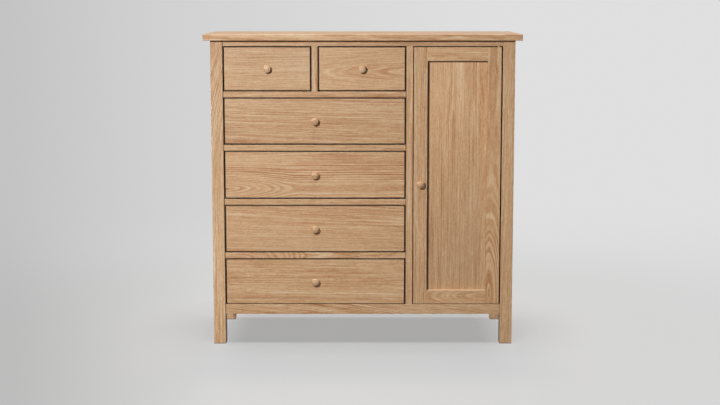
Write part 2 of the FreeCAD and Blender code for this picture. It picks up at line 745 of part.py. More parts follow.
def make_frame_leaves():
    """The two leaves let into the top and bottom rails, each with a hole for the pin."""
    leaves = []
    levels = {
        "upper_frame_leaf": beyond("top_rail_low", "hinge_plate_thick", 1),
        "lower_frame_leaf": beyond("case_floor", "hinge_plate_thick", -1),
    }
    for name, z in levels.items():
        body = new_body(name)
        leaf(body, "post_inner", z, "AdditiveBox", "AdditiveCylinder")
        disc(body, "pivot_x", "pivot_y", z, "pivot_pin + 2 * pivot_play", "SubtractiveCylinder")
        leaves.append(body)
    return group("hinge_frame_leaves", leaves)


def make_door_leaves():
    """The two leaves let into the ends of the hinge stile, each with its washer and pin."""
    leaves = []
    levels = {
        "upper_door_leaf": (beyond("door_top", "hinge_plate_thick", -1),
                            ("door_top", "top_rail_low - washer_play"),
                            ("door_top", "top_rail_low + hinge_plate_thick - pin_end_clear")),
        "lower_door_leaf": (beyond("door_low", "hinge_plate_thick", 1),
                            ("case_floor + washer_play", "door_low"),
                            ("case_floor - hinge_plate_thick + pin_end_clear", "door_low")),
    }
    for name, (leaf_z, washer_z, pin_z) in levels.items():
        body = new_body(name)
        leaf(body, "door_right", leaf_z, "AdditiveBox", "AdditiveCylinder")
        disc(body, "pivot_x", "pivot_y", washer_z, "washer_wide")
        disc(body, "pivot_x", "pivot_y", pin_z, "pivot_pin")
        leaves.append(body)
    return group("hinge_door_leaves", leaves)


# ---- the door ------------------------------------------------------------------------------------

DOOR_Y = ("rail_front", "door_back")
DOOR_PANEL_Y = ("door_panel_face", "door_panel_back")
DOOR_RAILS = {
    "upper": ("door_top - door_frame_wide", "door_top"),
    "lower": ("door_low", "door_low + door_frame_wide"),
}
DOOR_TENON_Y = ("rail_front + shoulder", "door_back - shoulder")
DOOR_OPEN_X = ("door_left + door_frame_wide", "door_right - door_frame_wide")
DOOR_PANEL_Z = ("door_low + door_frame_wide - groove_deep", "door_top - door_frame_wide + groove_deep")


def make_door_stile(name, x, inner_edge, inward):
    """A full-height stile, mortised for the rails and grooved for the panel."""
    body = new_body(name)
    block(body, x, DOOR_Y, ("door_low", "door_top"))
    at_front = lies_at("y", "rail_front")
    at_outer_edge = lies_at("x", x[0] if inward > 0 else x[1])
    along_end = runs_along("x")
    ease(body, "arris", lambda a, b: at_front(a, b) and (at_outer_edge(a, b) or along_end(a, b)))
    for z in DOOR_RAILS.values():
        cut(body, beyond(inner_edge, "door_tenon_long", -inward), DOOR_TENON_Y, tenon_height(z))
    cut(body, beyond(inner_edge, "groove_deep", -inward), DOOR_PANEL_Y, DOOR_PANEL_Z)
    return body


def make_door_rail(level):
    z = DOOR_RAILS[level]
    body = new_body(f"door_{level}_rail")
    block(body, DOOR_OPEN_X, DOOR_Y, z)
    outer = z[1] if level == "upper" else z[0]
    ease(body, "arris", both(lies_at("y", "rail_front"), lies_at("z", outer)))
    block(body, (f"{DOOR_OPEN_X[0]} - door_tenon_long", f"{DOOR_OPEN_X[1]} + door_tenon_long"),
          DOOR_TENON_Y, tenon_height(z))
    groove_z = beyond(z[0], "groove_deep", 1) if level == "upper" else beyond(z[1], "groove_deep", -1)
    cut(body, DOOR_OPEN_X, DOOR_PANEL_Y, groove_z)
    return body


def make_door():
    knob_stile = make_door_stile("door_knob_stile", ("door_left", DOOR_OPEN_X[0]), DOOR_OPEN_X[0], 1)
    knob_bore(knob_stile, f"(door_left + {DOOR_OPEN_X[0]}) / 2", "door_knob_height", "door_thick")
    node(knob_stile)
    hinge_stile = make_door_stile("door_hinge_stile", (DOOR_OPEN_X[1], "door_right"), DOOR_OPEN_X[1], -1)
    cut_hinge_leaf(hinge_stile, "door_right", beyond("door_top", "hinge_plate_thick", -1))
    cut_hinge_leaf(hinge_stile, "door_right", beyond("door_low", "hinge_plate_thick", 1))
    node(hinge_stile)
    group("door_rails", [make_door_rail(level) for level in DOOR_RAILS])
    panel = new_body("door_panel")
    block(panel, (f"{DOOR_OPEN_X[0]} - groove_deep", f"{DOOR_OPEN_X[1]} + groove_deep"), DOOR_PANEL_Y,
          DOOR_PANEL_Z)
    node(panel)
    make_knob("door_knob", f"(door_left + {DOOR_OPEN_X[0]}) / 2", "door_knob_height", "door_thick")


# ---- knobs ---------------------------------------------------------------------------------------

def knob_bore(body, x, z, depth):
    """Bore a board for the spigot of a knob."""
    hole = body.newObject("PartDesign::SubtractiveCylinder", f"{body.Name}_bore")
    hole.Placement = FreeCAD.Placement(FreeCAD.Vector(0, 0, 0),
                                       FreeCAD.Rotation(FreeCAD.Vector(1, 0, 0), -90))
    bind(hole, "Radius", "spigot_wide / 2 + spigot_play")
    bind(hole, "Height", depth)
    bind(hole, "Placement.Base.x", x)
    bind(hole, "Placement.Base.y", "rail_front")
    bind(hole, "Placement.Base.z", z)


def make_knob(name, x, z, board):
    """A turned mushroom knob: foot, neck, cove, rounded rim and dome, on a spigot through its board."""
    body = new_body(name)
    corners = [
        ("0", board), ("spigot_wide / 2", board), ("spigot_wide / 2", "0"), ("knob_foot / 2", "0"),
        ("knob_neck / 2", "0 - knob_neck_out"),
        ("knob_neck / 2 + cove_radius + cove_radius * (rim_x - knob_neck / 2 - cove_radius) / cove_to_rim",
         "0 - knob_neck_out - cove_radius * (knob_rim_out - knob_neck_out) / cove_to_rim"),
        ("dome_radius * rim_x / dome_to_rim",
         "0 - dome_middle - dome_radius * (knob_rim_out - dome_middle) / dome_to_rim"),
        ("0", "0 - knob_long"),
    ]
    arcs = {3: ("foot_radius", -1), 4: ("cove_radius", -1), 5: ("knob_rim", 1), 6: ("dome_radius", 1)}
    turned(body, profile(body, "XY_Plane", corners, arcs))
    bind(body, "Placement.Base.x", x)
    bind(body, "Placement.Base.y", "rail_front")
    bind(body, "Placement.Base.z", z)
    return node(body)


# ---- the drawers ---------------------------------------------------------------------------------

DRAWERS = {
    # name: (left edge, right edge, floor, top) of the opening, and the gap below the front
    "top_left_drawer": ("bay_left", "muntin_left", "first_row_floor", "top_rail_low", "drawer_gap_below"),
    "top_right_drawer": ("muntin_right", "bay_right", "first_row_floor", "top_rail_low", "drawer_gap_below"),
    "second_drawer": ("bay_left", "bay_right", "second_row_floor", "second_row_top", "drawer_gap_below"),
    "third_drawer": ("bay_left", "bay_right", "third_row_floor", "third_row_top", "drawer_gap_below"),
    "fourth_drawer": ("bay_left", "bay_right", "fourth_row_floor", "fourth_row_top", "drawer_gap_below"),
    "bottom_drawer": ("bay_left", "bay_right", "case_floor", "fifth_row_top", "lowest_gap_below"),
}
TAILS = 4
ROOT_SHARE = 0.3  # half the root of a dovetail, as a share of the pitch


def tails(body, x, floor, side_high, kind):
    """Add dovetails to a drawer side, or sockets to a drawer front, over the span x."""
    pitch = f"({side_high}) / {TAILS}"
    root = f"{pitch} * {ROOT_SHARE}"
    middle = f"{floor} + {pitch} / 2"
    corners = [
        ("front_back", f"{middle} - {root}"), ("front_back", f"{middle} + {root}"),
        ("tail_end", f"{middle} + {root} + tail_flare"), ("tail_end", f"{middle} - {root} - tail_flare"),
    ]
    sketch = profile(body, "YZ_Plane", corners, offset=x[0] if kind == "Pad" else x[1])
    single = pad(body, sketch, f"({x[1]}) - ({x[0]})", kind)
    row = body.newObject("PartDesign::LinearPattern", f"{body.Name}_row")
    row.Originals = [single]
    row.Direction = (origin_feature(body, "Z_Axis"), [""])
    bind(row, "Length", f"({pitch}) * {TAILS - 1}")
    row.Occurrences = TAILS
    body.Tip = row


def make_drawer(name):
    """A drawer box: lapped dovetails in front, a housed back and a panel bottom in grooves."""
    left, right, floor, top, gap_below = DRAWERS[name]
    x = (f"{left} + drawer_gap_side", f"{right} - drawer_gap_side")
    side_z = (floor, f"{top} - drawer_headroom")
    side_high = f"{side_z[1]} - ({side_z[0]})"
    left_side_x = beyond(x[0], "drawer_side_thick", 1)
    right_side_x = beyond(x[1], "drawer_side_thick", -1)
    inside_x = (left_side_x[1], right_side_x[0])
    bottom_z = beyond(f"{floor} + drawer_bottom_up", "drawer_bottom_thick", 1)
    back_y = ("drawer_rear - drawer_back_inset - drawer_side_thick", "drawer_rear - drawer_back_inset")
    middle_x = f"({x[0]} + {x[1]}) / 2"
    middle_z = f"({floor} + {top}) / 2"

    front = new_body(f"{name}_front")
    block(front, x, ("rail_front", "front_back"),
          (f"{floor} + {gap_below}", f"{top} - drawer_gap_above"))
    ease(front, "arris", lies_at("y", "rail_front"))
    for socket_x in (left_side_x, right_side_x):
        tails(front, socket_x, floor, side_high, "Pocket")
    cut(front, inside_x, beyond("front_back", "drawer_groove", -1), bottom_z)
    knob_bore(front, middle_x, middle_z, "drawer_front_thick")
    node(front)

    sides = []
    for side, side_x, inner, inward in (("left", left_side_x, inside_x[0], 1),
                                        ("right", right_side_x, inside_x[1], -1)):
        body = new_body(f"{name}_{side}_side")
        block(body, side_x, ("front_back", "drawer_rear"), side_z)
        tails(body, side_x, floor, side_high, "Pad")
        cut(body, beyond(inner, "drawer_groove", -inward), ("front_back", "drawer_rear"), bottom_z)
        cut(body, beyond(inner, "drawer_groove", -inward), back_y, (bottom_z[1], side_z[1]))
        sides.append(body)
    group(f"{name}_sides", sides)

    housed_x = (f"{inside_x[0]} - drawer_groove", f"{inside_x[1]} + drawer_groove")
    back = new_body(f"{name}_back")
    block(back, housed_x, back_y, (bottom_z[1], f"{side_z[1]} - drawer_back_drop"))
    node(back)

    bottom = new_body(f"{name}_bottom")
    block(bottom, housed_x, ("front_back", "drawer_rear"), bottom_z)
    block(bottom, inside_x, beyond("front_back", "drawer_groove", -1), bottom_z)
    node(bottom)

    make_knob(f"{name}_knob", middle_x, middle_z, "drawer_front_thick")


# ---- everything together -------------------------------------------------------------------------

def make_case():
    make_top()
    for name in POSTS:
        make_post(name)
    sides = ("left", "right")
    group("side_rails", [make_side_rail(side, level) for side in sides for level in SIDE_RAILS])
    group("side_panels", [make_side_panel(side) for side in sides])
    make_front_top_rail()
    make_front_bottom_rail()
    group("drawer_rails", [make_drawer_rail(name) for name in DRAWER_RAILS])
    make_centre_stile()
    make_top_muntin()
    make_partition()
    make_case_floor()
    group("back_frame", [make_back_rail("upper"), make_back_rail("lower"), make_back_stile()])
    group("back_panels", [make_back_panel("left_back_panel", "bay_left", "back_stile_left"),
                          make_back_panel("right_back_panel", "back_stile_right", "post_inner")])
    make_rear_bearer()
    make_runners()
    make_kickers()


def make_cupboard():
    make_hanging_rail()
    make_rail_sockets()
    make_catch()
    make_frame_leaves()
    make_door_leaves()
    make_door()


def check_and_write():
    """Stop at any failed object or bad shape, then write one STEP file for each sub-part."""
    failed = [thing.Label for thing in doc.Objects if {"Invalid", "Error"} & set(thing.State)]
    if failed:
        raise RuntimeError(f"failed objects: {failed}")
    os.makedirs(PARTS_FOLDER, exist_ok=True)
    for thing in nodes:
        shape = thing.Shape
        if shape.isNull() or not shape.isValid() or not shape.Solids:
            raise RuntimeError(f"bad shape: {thing.Label}")
        shape.exportStep(os.path.join(PARTS_FOLDER, f"{thing.Label}.step"))
    print(f"{len(nodes)} sub-parts, {sum(len(thing.Shape.Solids) for thing in nodes)} solids")


fill_sheet()
make_case()
make_cupboard()
for drawer in DRAWERS:
    make_drawer(drawer)
doc.recompute()
check_and_write()
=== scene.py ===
import math

import bmesh
import bpy
from bpy.props import FloatProperty, FloatVectorProperty, PointerProperty
from bpy.types import Operator, Panel, PropertyGroup
from mathutils import Matrix, Vector


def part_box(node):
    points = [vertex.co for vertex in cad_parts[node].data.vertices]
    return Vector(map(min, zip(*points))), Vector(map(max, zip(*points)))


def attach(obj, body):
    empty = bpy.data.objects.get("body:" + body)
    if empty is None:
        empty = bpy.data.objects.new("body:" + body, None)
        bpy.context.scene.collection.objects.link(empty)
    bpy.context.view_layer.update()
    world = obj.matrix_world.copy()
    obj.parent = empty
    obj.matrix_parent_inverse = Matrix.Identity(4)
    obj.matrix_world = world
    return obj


bl_info = {
    "name": "Oak chifforobe",
    "version": (1, 0, 0),
    "blender": (4, 5, 0),
    "location": "View3D > Sidebar > Chifforobe",
    "description": "Finishes a chest of six drawers and a hanging cupboard in oak",
    "category": "Object",
}

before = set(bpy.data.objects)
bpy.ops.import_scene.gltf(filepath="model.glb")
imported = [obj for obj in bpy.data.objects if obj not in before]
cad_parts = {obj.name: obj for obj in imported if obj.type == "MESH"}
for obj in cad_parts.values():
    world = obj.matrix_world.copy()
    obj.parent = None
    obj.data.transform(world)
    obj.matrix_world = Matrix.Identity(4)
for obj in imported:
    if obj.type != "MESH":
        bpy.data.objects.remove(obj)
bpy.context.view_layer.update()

MM = 0.001
PER_METRE = 1000.0
DRAWERS = ("top_left_drawer", "top_right_drawer", "second_drawer", "third_drawer", "fourth_drawer",
           "bottom_drawer")
KNOBS = tuple(f"{drawer}_knob" for drawer in DRAWERS) + ("door_knob",)


# ---- what a user would change ----

def colour(name, description, default):
    """A setting that is a colour."""
    return FloatVectorProperty(name=name, description=description, default=default, subtype="COLOR",
                               size=3, min=0.0, max=1.0)


def amount(name, description, default, least=0.0, **kind):
    """A setting that is one number. kind is its unit or subtype."""
    return FloatProperty(name=name, description=description, default=default, min=least, **kind)


class OakSettings(PropertyGroup):
    """The oak that the whole piece is made of."""

    pale: colour("Pale wood", "Smooth wood between the rings", (0.74, 0.555, 0.365))
    middle: colour("Middle wood", "General colour of a board", (0.575, 0.352, 0.187))
    dark: colour("Ring lines", "Coarse early wood of each year", (0.385, 0.168, 0.066))
    pore: colour("Pores", "Open pores and their oil", (0.28, 0.122, 0.044))
    # Painted shade: this dark colour is painted into gaps, along joints, round the fronts, at the feet and
    # beside the door panel's frame, where shade falls.
    painted_shade: colour("Grime", "Gaps and joints, where dirt and oil gather", (0.055, 0.030, 0.016))
    # Painted highlight and wear: arrises are painted this paler colour, partly as wear and partly as a
    # highlight along the edges.
    worn_and_highlit: colour("Worn arris", "Edges rubbed through to paler wood", (0.78, 0.56, 0.36))
    sheen: amount("Roughness", "Satin of the oiled surface", 0.46, max=1.0, subtype="FACTOR")
    relief: amount("Grain depth", "Depth of the open grain", 0.00012, unit="LENGTH")
    arris: amount("Arris", "Softening of the edges of a board", 0.0013, unit="LENGTH")


class FittingSettings(PropertyGroup):
    """Metal and plastic fittings."""

    brass: colour("Brass", "Hinge leaves and their screws", (0.62, 0.42, 0.17))
    steel: colour("Steel", "Hanging rail, strike plate and screws", (0.58, 0.58, 0.57))
    plastic: colour("Plastic", "Housing of the catch", (0.30, 0.22, 0.15))
    screw_head: amount("Screw head", "Across the head of a hinge screw", 0.0068, 0.001, unit="LENGTH")
    screw_proud: amount("Screw proud", "Head above the face it sits in", 0.0003, unit="LENGTH")


class StudioSettings(PropertyGroup):
    """Floor, backdrop, lamps and camera."""

    paper: colour("Paper", "Colour of the sweep where it is brightest", (0.74, 0.74, 0.74))
    key_watts: amount("Key lamp", "Lamp above and to the left", 98.0, unit="POWER")
    overhead: amount("Overhead light", "Soft light from above", 2.7)
    room: amount("Room light", "Even light from all round", 0.022)
    foot_watts: amount("Foot lamp", "Low lamp that reaches the rear feet", 40.0, unit="POWER")
    rear_watts: amount("Rear lamps", "Pair of lamps that reach the back and sides", 62.0, unit="POWER")
    shade_share: amount("Shade", "How much of the shade falls on the floor", 0.45, max=1.0,
                        subtype="FACTOR")
    lens: amount("Lens", "Focal length", 73.18, 1.0, unit="CAMERA")
    camera_away: amount("Camera distance", "In front of the origin", 5.764, 0.1, unit="LENGTH")
    camera_high: amount("Camera height", "Above the floor", 1.324, unit="LENGTH")
    camera_dip: FloatProperty(name="Camera dip", description="Looking down", default=math.radians(7.948),
                              subtype="ANGLE")


# ---- node trees ----

class Wiring:
    """Adds and joins the nodes of one tree."""

    def __init__(self, tree):
        self.tree = tree

    def add(self, kind, **settings):
        made = self.tree.nodes.new(kind)
        for name, value in settings.items():
            setattr(made, name, value)
        return made

    def feed(self, socket, source):
        """Join an output to an input, or set the input's own value."""
        if isinstance(source, bpy.types.NodeSocket):
            self.tree.links.new(source, socket)
        else:
            socket.default_value = source

    def feed_all(self, sockets, sources):
        """Feed several inputs, each by its name."""
        for name, source in sources.items():
            self.feed(sockets[name], source)

    def fed(self, kind, *values, **settings):
        """The outputs of a new node, its inputs fed in their order."""
        made = self.add(kind, **settings)
        for socket, value in zip(made.inputs, values):
            self.feed(socket, value)
        return made.outputs

    def maths(self, operation, *values):
        return self.fed("ShaderNodeMath", *values, operation=operation)[0]

    def minus(self, first, second):
        return self.maths("SUBTRACT", first, second)

    def chained(self, operation, total, *values):
        for value in values:
            total = self.maths(operation, total, value)
        return total

    def plus(self, *values):
        return self.chained("ADD", *values)

    def times(self, *values):
        return self.chained("MULTIPLY", *values)

    def rise(self, value, low, high, from_value=0.0, to_value=1.0):
        """A smooth step as value goes from low to high."""
        return self.fed("ShaderNodeMapRange", value, low, high, from_value, to_value,
                        interpolation_type="SMOOTHSTEP")[0]

    def fall(self, value, low, high, from_value=1.0):
        """A smooth step down to nothing as value goes from low to high."""
        return self.rise(value, low, high, from_value, 0.0)

    def inset(self, value, low, high):
        """How far a value is inside two limits."""
        return self.maths("MINIMUM", self.minus(value, low), self.minus(high, value))

    def vector(self, x, y, z):
        return self.fed("ShaderNodeCombineXYZ", x, y, z)[0]

    def parts(self, vector):
        return tuple(self.fed("ShaderNodeSeparateXYZ", vector))

    def vectors(self, operation, first, second):
        made = self.fed("ShaderNodeVectorMath", first, second, operation=operation)
        return made["Value" if operation == "DOT_PRODUCT" else "Vector"]

    def scaled(self, vector, scale):
        return self.vectors("MULTIPLY", vector, (scale,) * 3)

    def about_zero(self, three):
        """Three numbers from 0 to 1, moved to swing about zero."""
        return self.vectors("SUBTRACT", three, (0.5, 0.5, 0.5))

    def in_millimetres(self):
        """The place on the object, in millimetres."""
        return self.scaled(self.add("ShaderNodeTexCoord").outputs["Object"], PER_METRE)

    def noise(self, place, stretch, detail=2.0, roughness=0.5, coloured=False):
        """Noise over a place, stretch being its cycles per unit along each axis."""
        made = self.add("ShaderNodeTexNoise")
        self.feed_all(made.inputs, {"Vector": self.vectors("MULTIPLY", place, stretch), "Scale": 1.0,
                                    "Detail": detail, "Roughness": roughness})
        return made.outputs[1 if coloured else 0]

    def swing(self, place, stretch, detail=1.0, roughness=0.5):
        """Noise that swings about zero."""
        return self.minus(self.noise(place, stretch, detail, roughness), 0.5)

    def chance(self, number, coloured=False):
        """A random number, or three, for each whole number."""
        made = self.add("ShaderNodeTexWhiteNoise", noise_dimensions="1D")
        self.feed(made.inputs["W"], number)
        return made.outputs[1 if coloured else 0]

    def mixed(self, share, first, second, blend="MIX"):
        made = self.add("ShaderNodeMix", data_type="RGBA", blend_type=blend, clamp_factor=True)
        self.feed(made.inputs[0], share)
        self.feed(made.inputs[6], first)
        self.feed(made.inputs[7], second)
        return made.outputs[2]

    def lightened(self, paint, share):
        """A colour, lighter or darker by a share of itself."""
        return self.mixed(1.0, paint, self.vector(share, share, share), "MULTIPLY")

    def ramp(self, value, stops):
        """A colour for each value, stops being (place, colour)."""
        made = self.add("ShaderNodeValToRGB")
        elements = made.color_ramp.elements
        while len(elements) < len(stops):
            elements.new(0.5)
        for element, (place, stop) in zip(elements, stops):
            element.position = place
            element.color = (*stop, 1.0)
        self.feed(made.inputs[0], value)
        return made.outputs[0]

    def relief(self, height, strength, depth, under=None):
        """The normal of a surface with relief in it."""
        made = self.add("ShaderNodeBump")
        self.feed_all(made.inputs, {"Strength": strength, "Distance": depth, "Height": height})
        if under is not None:
            self.feed(made.inputs["Normal"], under)
        return made.outputs[0]


def new_material(name):
    """A material, its wiring and its surface."""
    made = bpy.data.materials.new(name)
    made.use_nodes = True
    return made, Wiring(made.node_tree), made.node_tree.nodes["Principled BSDF"]


# ---- oak ----

# How one board was cut from its tree. Lengths are in metres, in the board's own directions: along the
# grain, across the face and into the face, from an anchor on the face.
FIGURE = {
    "Pith Across": 0.0,    # heart of the tree to the side of the anchor
    "Pith Deep": 0.09,     # heart of the tree behind the face
    "Lean Across": 0.0,    # drift of the heart across the board, per metre along it
    "Lean Deep": 0.02,     # drift of the heart away from the face
    "Reach": 2.0,          # how far from the anchor that drift goes on
    "Bend": 0.0,           # sideways curve of the heart beyond the anchor, per metre
    "Ring": 0.0062,        # width of a year's growth
    "Waver": 1.0,          # how far the rings wander
    "Contrast": 1.0,       # strength of the ring lines
    "Streak": 1.0,         # strength of the streaks
    "Tone": 1.0,           # lightness of the board
    "Paleness": 0.0,       # towards the colour of the smooth wood
    "Seed": 0.0,
    "Apart": 0.0,          # how much boards of different numbers differ
}

# Noises in oak, in cycles per millimetre along the grain, across it and into it.
WANDER = (0.0017, 0.008, 0.008)
RIPPLE = (0.010, 0.040, 0.040)
FRET = (0.045, 0.20, 0.20)
FIBRES = (0.022, 0.24, 0.24)
FLECKS = (0.10, 0.32, 0.32)
PORES = (0.085, 2.6, 2.6)
ARRIS_PATCHES = (0.02, 0.05, 0.05)
# Noises that keep to the rings: along the grain and out from the heart.
ZONES = (0.0018, 0.018, 1.0)
BROAD_STREAKS = (0.0014, 0.040, 1.0)
NARROW_STREAKS = (0.0042, 0.20, 1.0)
UNEVEN_YEARS = (0.05, 1.0, 1.0)  # out from the heart only
FINE = 0.72  # roughness of the noise of fibres and narrow streaks

# How far each noise moves the rings, in millimetres.
WANDER_MM, RIPPLE_MM, FRET_MM = 22.0, 4.5, 1.4
TURN_MM = 60.0  # how softly the heart stops drifting at its reach

# How boards of one node differ: where they come from in the tree, in millimetres along the grain and
# across it, and by what share their depth in it and their tone change.
APART_ALONG, APART_ACROSS, APART_DEEP, APART_TONE = 5000.0, 110.0, 0.9, 0.13
BOARD_STRIDE = 17.31  # between the random numbers of two boards
SEED_STRIDES = (131.7, 57.3, 211.1)  # between the noises of two seeds, in millimetres

# The shade of plain wood between dark (0) and pale (1), and how far each figure shifts it.
PLAIN_SHADE = 0.545
BROAD_SHIFT, NARROW_SHIFT, FLECK_SHIFT, RING_SHIFT = 0.30, 1.4, 0.5, -0.28


def group_tree(name, inputs, outputs):
    """An empty shader group with its sockets."""
    tree = bpy.data.node_groups.new(name, "ShaderNodeTree")
    for socket, kind, default in inputs:
        made = tree.interface.new_socket(socket, in_out="INPUT", socket_type=kind)
        if default is not None:
            made.default_value = default
    for socket, kind in outputs:
        tree.interface.new_socket(socket, in_out="OUTPUT", socket_type=kind)
    wiring = Wiring(tree)
    return wiring, wiring.add("NodeGroupInput").outputs, wiring.add("NodeGroupOutput").inputs


def oak_group(oak):
    """Solid oak: rings about the heart of a tree, with fibres, pores, end grain, and arrises painted
    paler, partly as wear and partly as a painted highlight.
    """
    inputs = [("Place", "NodeSocketVector", None), ("Board Number", "NodeSocketFloat", 0.0),
              ("End Grain", "NodeSocketFloat", 0.0)]
    inputs += [(name, "NodeSocketFloat", default) for name, default in FIGURE.items()]
    outputs = [("Colour", "NodeSocketColor"), ("Roughness", "NodeSocketFloat"),
               ("Normal", "NodeSocketVector")]
    w, given, result = group_tree("solid_oak", inputs, outputs)
    grain, across, deep = w.parts(w.scaled(given["Place"], PER_METRE))
    seed, apart, streak = given["Seed"], given["Apart"], given["Streak"]

    # each board of a node has a place of its own in the tree
    chance = w.chance(w.plus(w.times(given["Board Number"], BOARD_STRIDE), seed), coloured=True)
    first, second, third = w.parts(w.about_zero(chance))
    along = w.plus(grain, w.times(first, apart, APART_ALONG))
    pith_across = w.plus(w.times(given["Pith Across"], PER_METRE), w.times(second, apart, APART_ACROSS))
    pith_deep = w.times(given["Pith Deep"], PER_METRE, w.plus(1.0, w.times(third, apart, APART_DEEP)))
    tone = w.times(given["Tone"], w.plus(1.0, w.times(third, apart, APART_TONE)))
    shift = w.vector(*(w.times(seed, stride) for stride in SEED_STRIDES))
    place = w.vectors("ADD", w.vector(along, across, deep), shift)

    # the rings wander as the trunk does
    wander = w.about_zero(w.noise(place, WANDER, 1.5, coloured=True))
    ripple = w.about_zero(w.noise(place, RIPPLE, 1.0, coloured=True))
    fret = w.swing(place, FRET)
    wander_1, wander_2, _ = w.parts(w.scaled(wander, WANDER_MM))
    ripple_1, ripple_2, _ = w.parts(w.scaled(ripple, RIPPLE_MM))
    moved = [w.times(w.plus(a, b, w.times(fret, FRET_MM)), given["Waver"])
             for a, b in ((wander_1, ripple_1), (wander_2, ripple_2))]
    beyond = w.maths("MAXIMUM", grain, 0.0)
    heart_across = w.plus(pith_across, w.times(given["Lean Across"], grain),
                          w.times(given["Bend"], beyond, beyond, MM))
    reach = w.times(given["Reach"], PER_METRE)
    drift = w.maths("SMOOTH_MAX", w.maths("SMOOTH_MIN", grain, reach, TURN_MM), w.times(reach, -1.0),
                    TURN_MM)
    heart_deep = w.plus(pith_deep, w.times(given["Lean Deep"], drift))
    out_across = w.minus(w.plus(across, moved[0]), heart_across)
    out_deep = w.minus(w.plus(deep, moved[1]), heart_deep)
    radius = w.maths("SQRT", w.plus(w.times(out_across, out_across), w.times(out_deep, out_deep)))

    # yearly rings of uneven width and strength, each line sharp on one side
    uneven = w.noise(w.vector(radius, shift, 0.0), UNEVEN_YEARS, 1.0)
    year = w.plus(w.maths("DIVIDE", radius, w.times(given["Ring"], PER_METRE)), w.times(uneven, 3.0))
    part_of_year = w.maths("FRACT", year)
    strength = w.plus(0.55, w.times(0.45, w.chance(w.plus(w.maths("FLOOR", year), seed))))
    early = w.times(w.rise(part_of_year, 0.0, 0.14), w.fall(part_of_year, 0.16, 0.9))
    line = w.times(early, strength)

    # streaks that keep to the rings, then fibres that keep to the grain
    ringed = w.vectors("ADD", w.vector(along, radius, 0.0), shift)
    zone = w.rise(w.noise(ringed, ZONES, 1.0), 0.36, 0.64, 0.6, 1.3)
    broad = w.swing(ringed, BROAD_STREAKS)
    narrow = w.swing(ringed, NARROW_STREAKS, 3.0, FINE)
    fibre = w.swing(place, FIBRES, 3.0, FINE)
    fleck = w.swing(place, FLECKS)
    shade = w.plus(
        PLAIN_SHADE, given["Paleness"],
        w.times(broad, streak, BROAD_SHIFT),
        w.times(narrow, streak, zone, NARROW_SHIFT),
        w.times(fibre, streak),
        w.times(fleck, FLECK_SHIFT),
        w.times(line, given["Contrast"], zone, RING_SHIFT),
    )
    wood = w.ramp(shade, ((0.0, oak.dark), (0.5, oak.middle), (1.0, oak.pale)))

    # open pores, thickest in the early wood, and darker end grain
    pores = w.rise(w.noise(place, PORES, 1.0), 0.585, 0.68)
    pores = w.times(pores, w.plus(0.28, w.times(0.72, early)))
    wood = w.mixed(w.times(pores, 0.27), wood, (*oak.pore, 1.0))
    end = w.rise(given["End Grain"], 0.55, 0.9)
    wood = w.mixed(w.times(end, 0.55), wood, (*oak.dark, 1.0))
    wood = w.lightened(wood, tone)

    # arrises, rounded in the light, and painted paler: partly wear, partly a painted highlight
    bevel = w.add("ShaderNodeBevel", samples=4)
    bevel.inputs["Radius"].default_value = oak.arris
    flat = w.add("ShaderNodeNewGeometry").outputs["Normal"]
    turned = w.minus(1.0, w.vectors("DOT_PRODUCT", bevel.outputs[0], flat))
    rubbed_and_highlit = w.times(w.rise(turned, 0.01, 0.16), w.plus(0.45, w.noise(place, ARRIS_PATCHES, 1.0)))
    wood = w.mixed(w.times(rubbed_and_highlit, 0.3, w.minus(1.0, end)), wood, (*oak.worn_and_highlit, 1.0))

    height = w.plus(w.times(fibre, 0.5), w.times(line, -0.35), w.times(pores, -1.0))
    w.feed_all(result, {
        "Colour": wood,
        "Roughness": w.plus(oak.sheen, w.times(pores, 0.18), w.times(narrow, 0.10), w.times(end, 0.14)),
        "Normal": w.relief(height, 0.5, oak.relief, bevel.outputs[0]),
    })
    return w.tree


def solid_oak():
    """The oak group, made the first time it is asked for."""
    return bpy.data.node_groups.get("solid_oak") or oak_group(bpy.context.scene.chifforobe_oak)


CUT_STRIDE = 7.0  # keeps the numbers of two directions apart


def counted(w, axes, steps):
    """A number for each board of a node: steps is (axis, start, pitch) for each direction it is cut in."""
    number = 0.0
    for i, (axis, start, pitch) in enumerate(steps):
        cell = w.maths("FLOOR", w.maths("DIVIDE", w.minus(axes[axis], start), pitch))
        number = w.plus(number, w.times(cell, 1.0 + CUT_STRIDE * i))
    return number


# Shade in gaps and along joints is painted into the wood's colour below, not cast by the lamps.
GAP_REACH = 0.008  # how near another board has to stand for an edge to be dark
GAP_DEPTH = 0.020  # how far back from the front the dark edges go
SEAM_LIGHT = 0.2   # what is left of the wood's colour in the middle of a joint
# How dark the painted shade is: on the rim of a face, and on the edges of the fronts and of the frame in a
# gap.
RIM_SHADE, FRONT_GAP_SHADE, FRAME_GAP_SHADE = 0.94, 0.92, 0.94
# Half widths of the painted shade lines at joints and at the feet.
TIGHT_JOINT, OPEN_JOINT, WIDE_JOINT, MUNTIN_JOINT = 0.0014, 0.0028, 0.0034, 0.0036


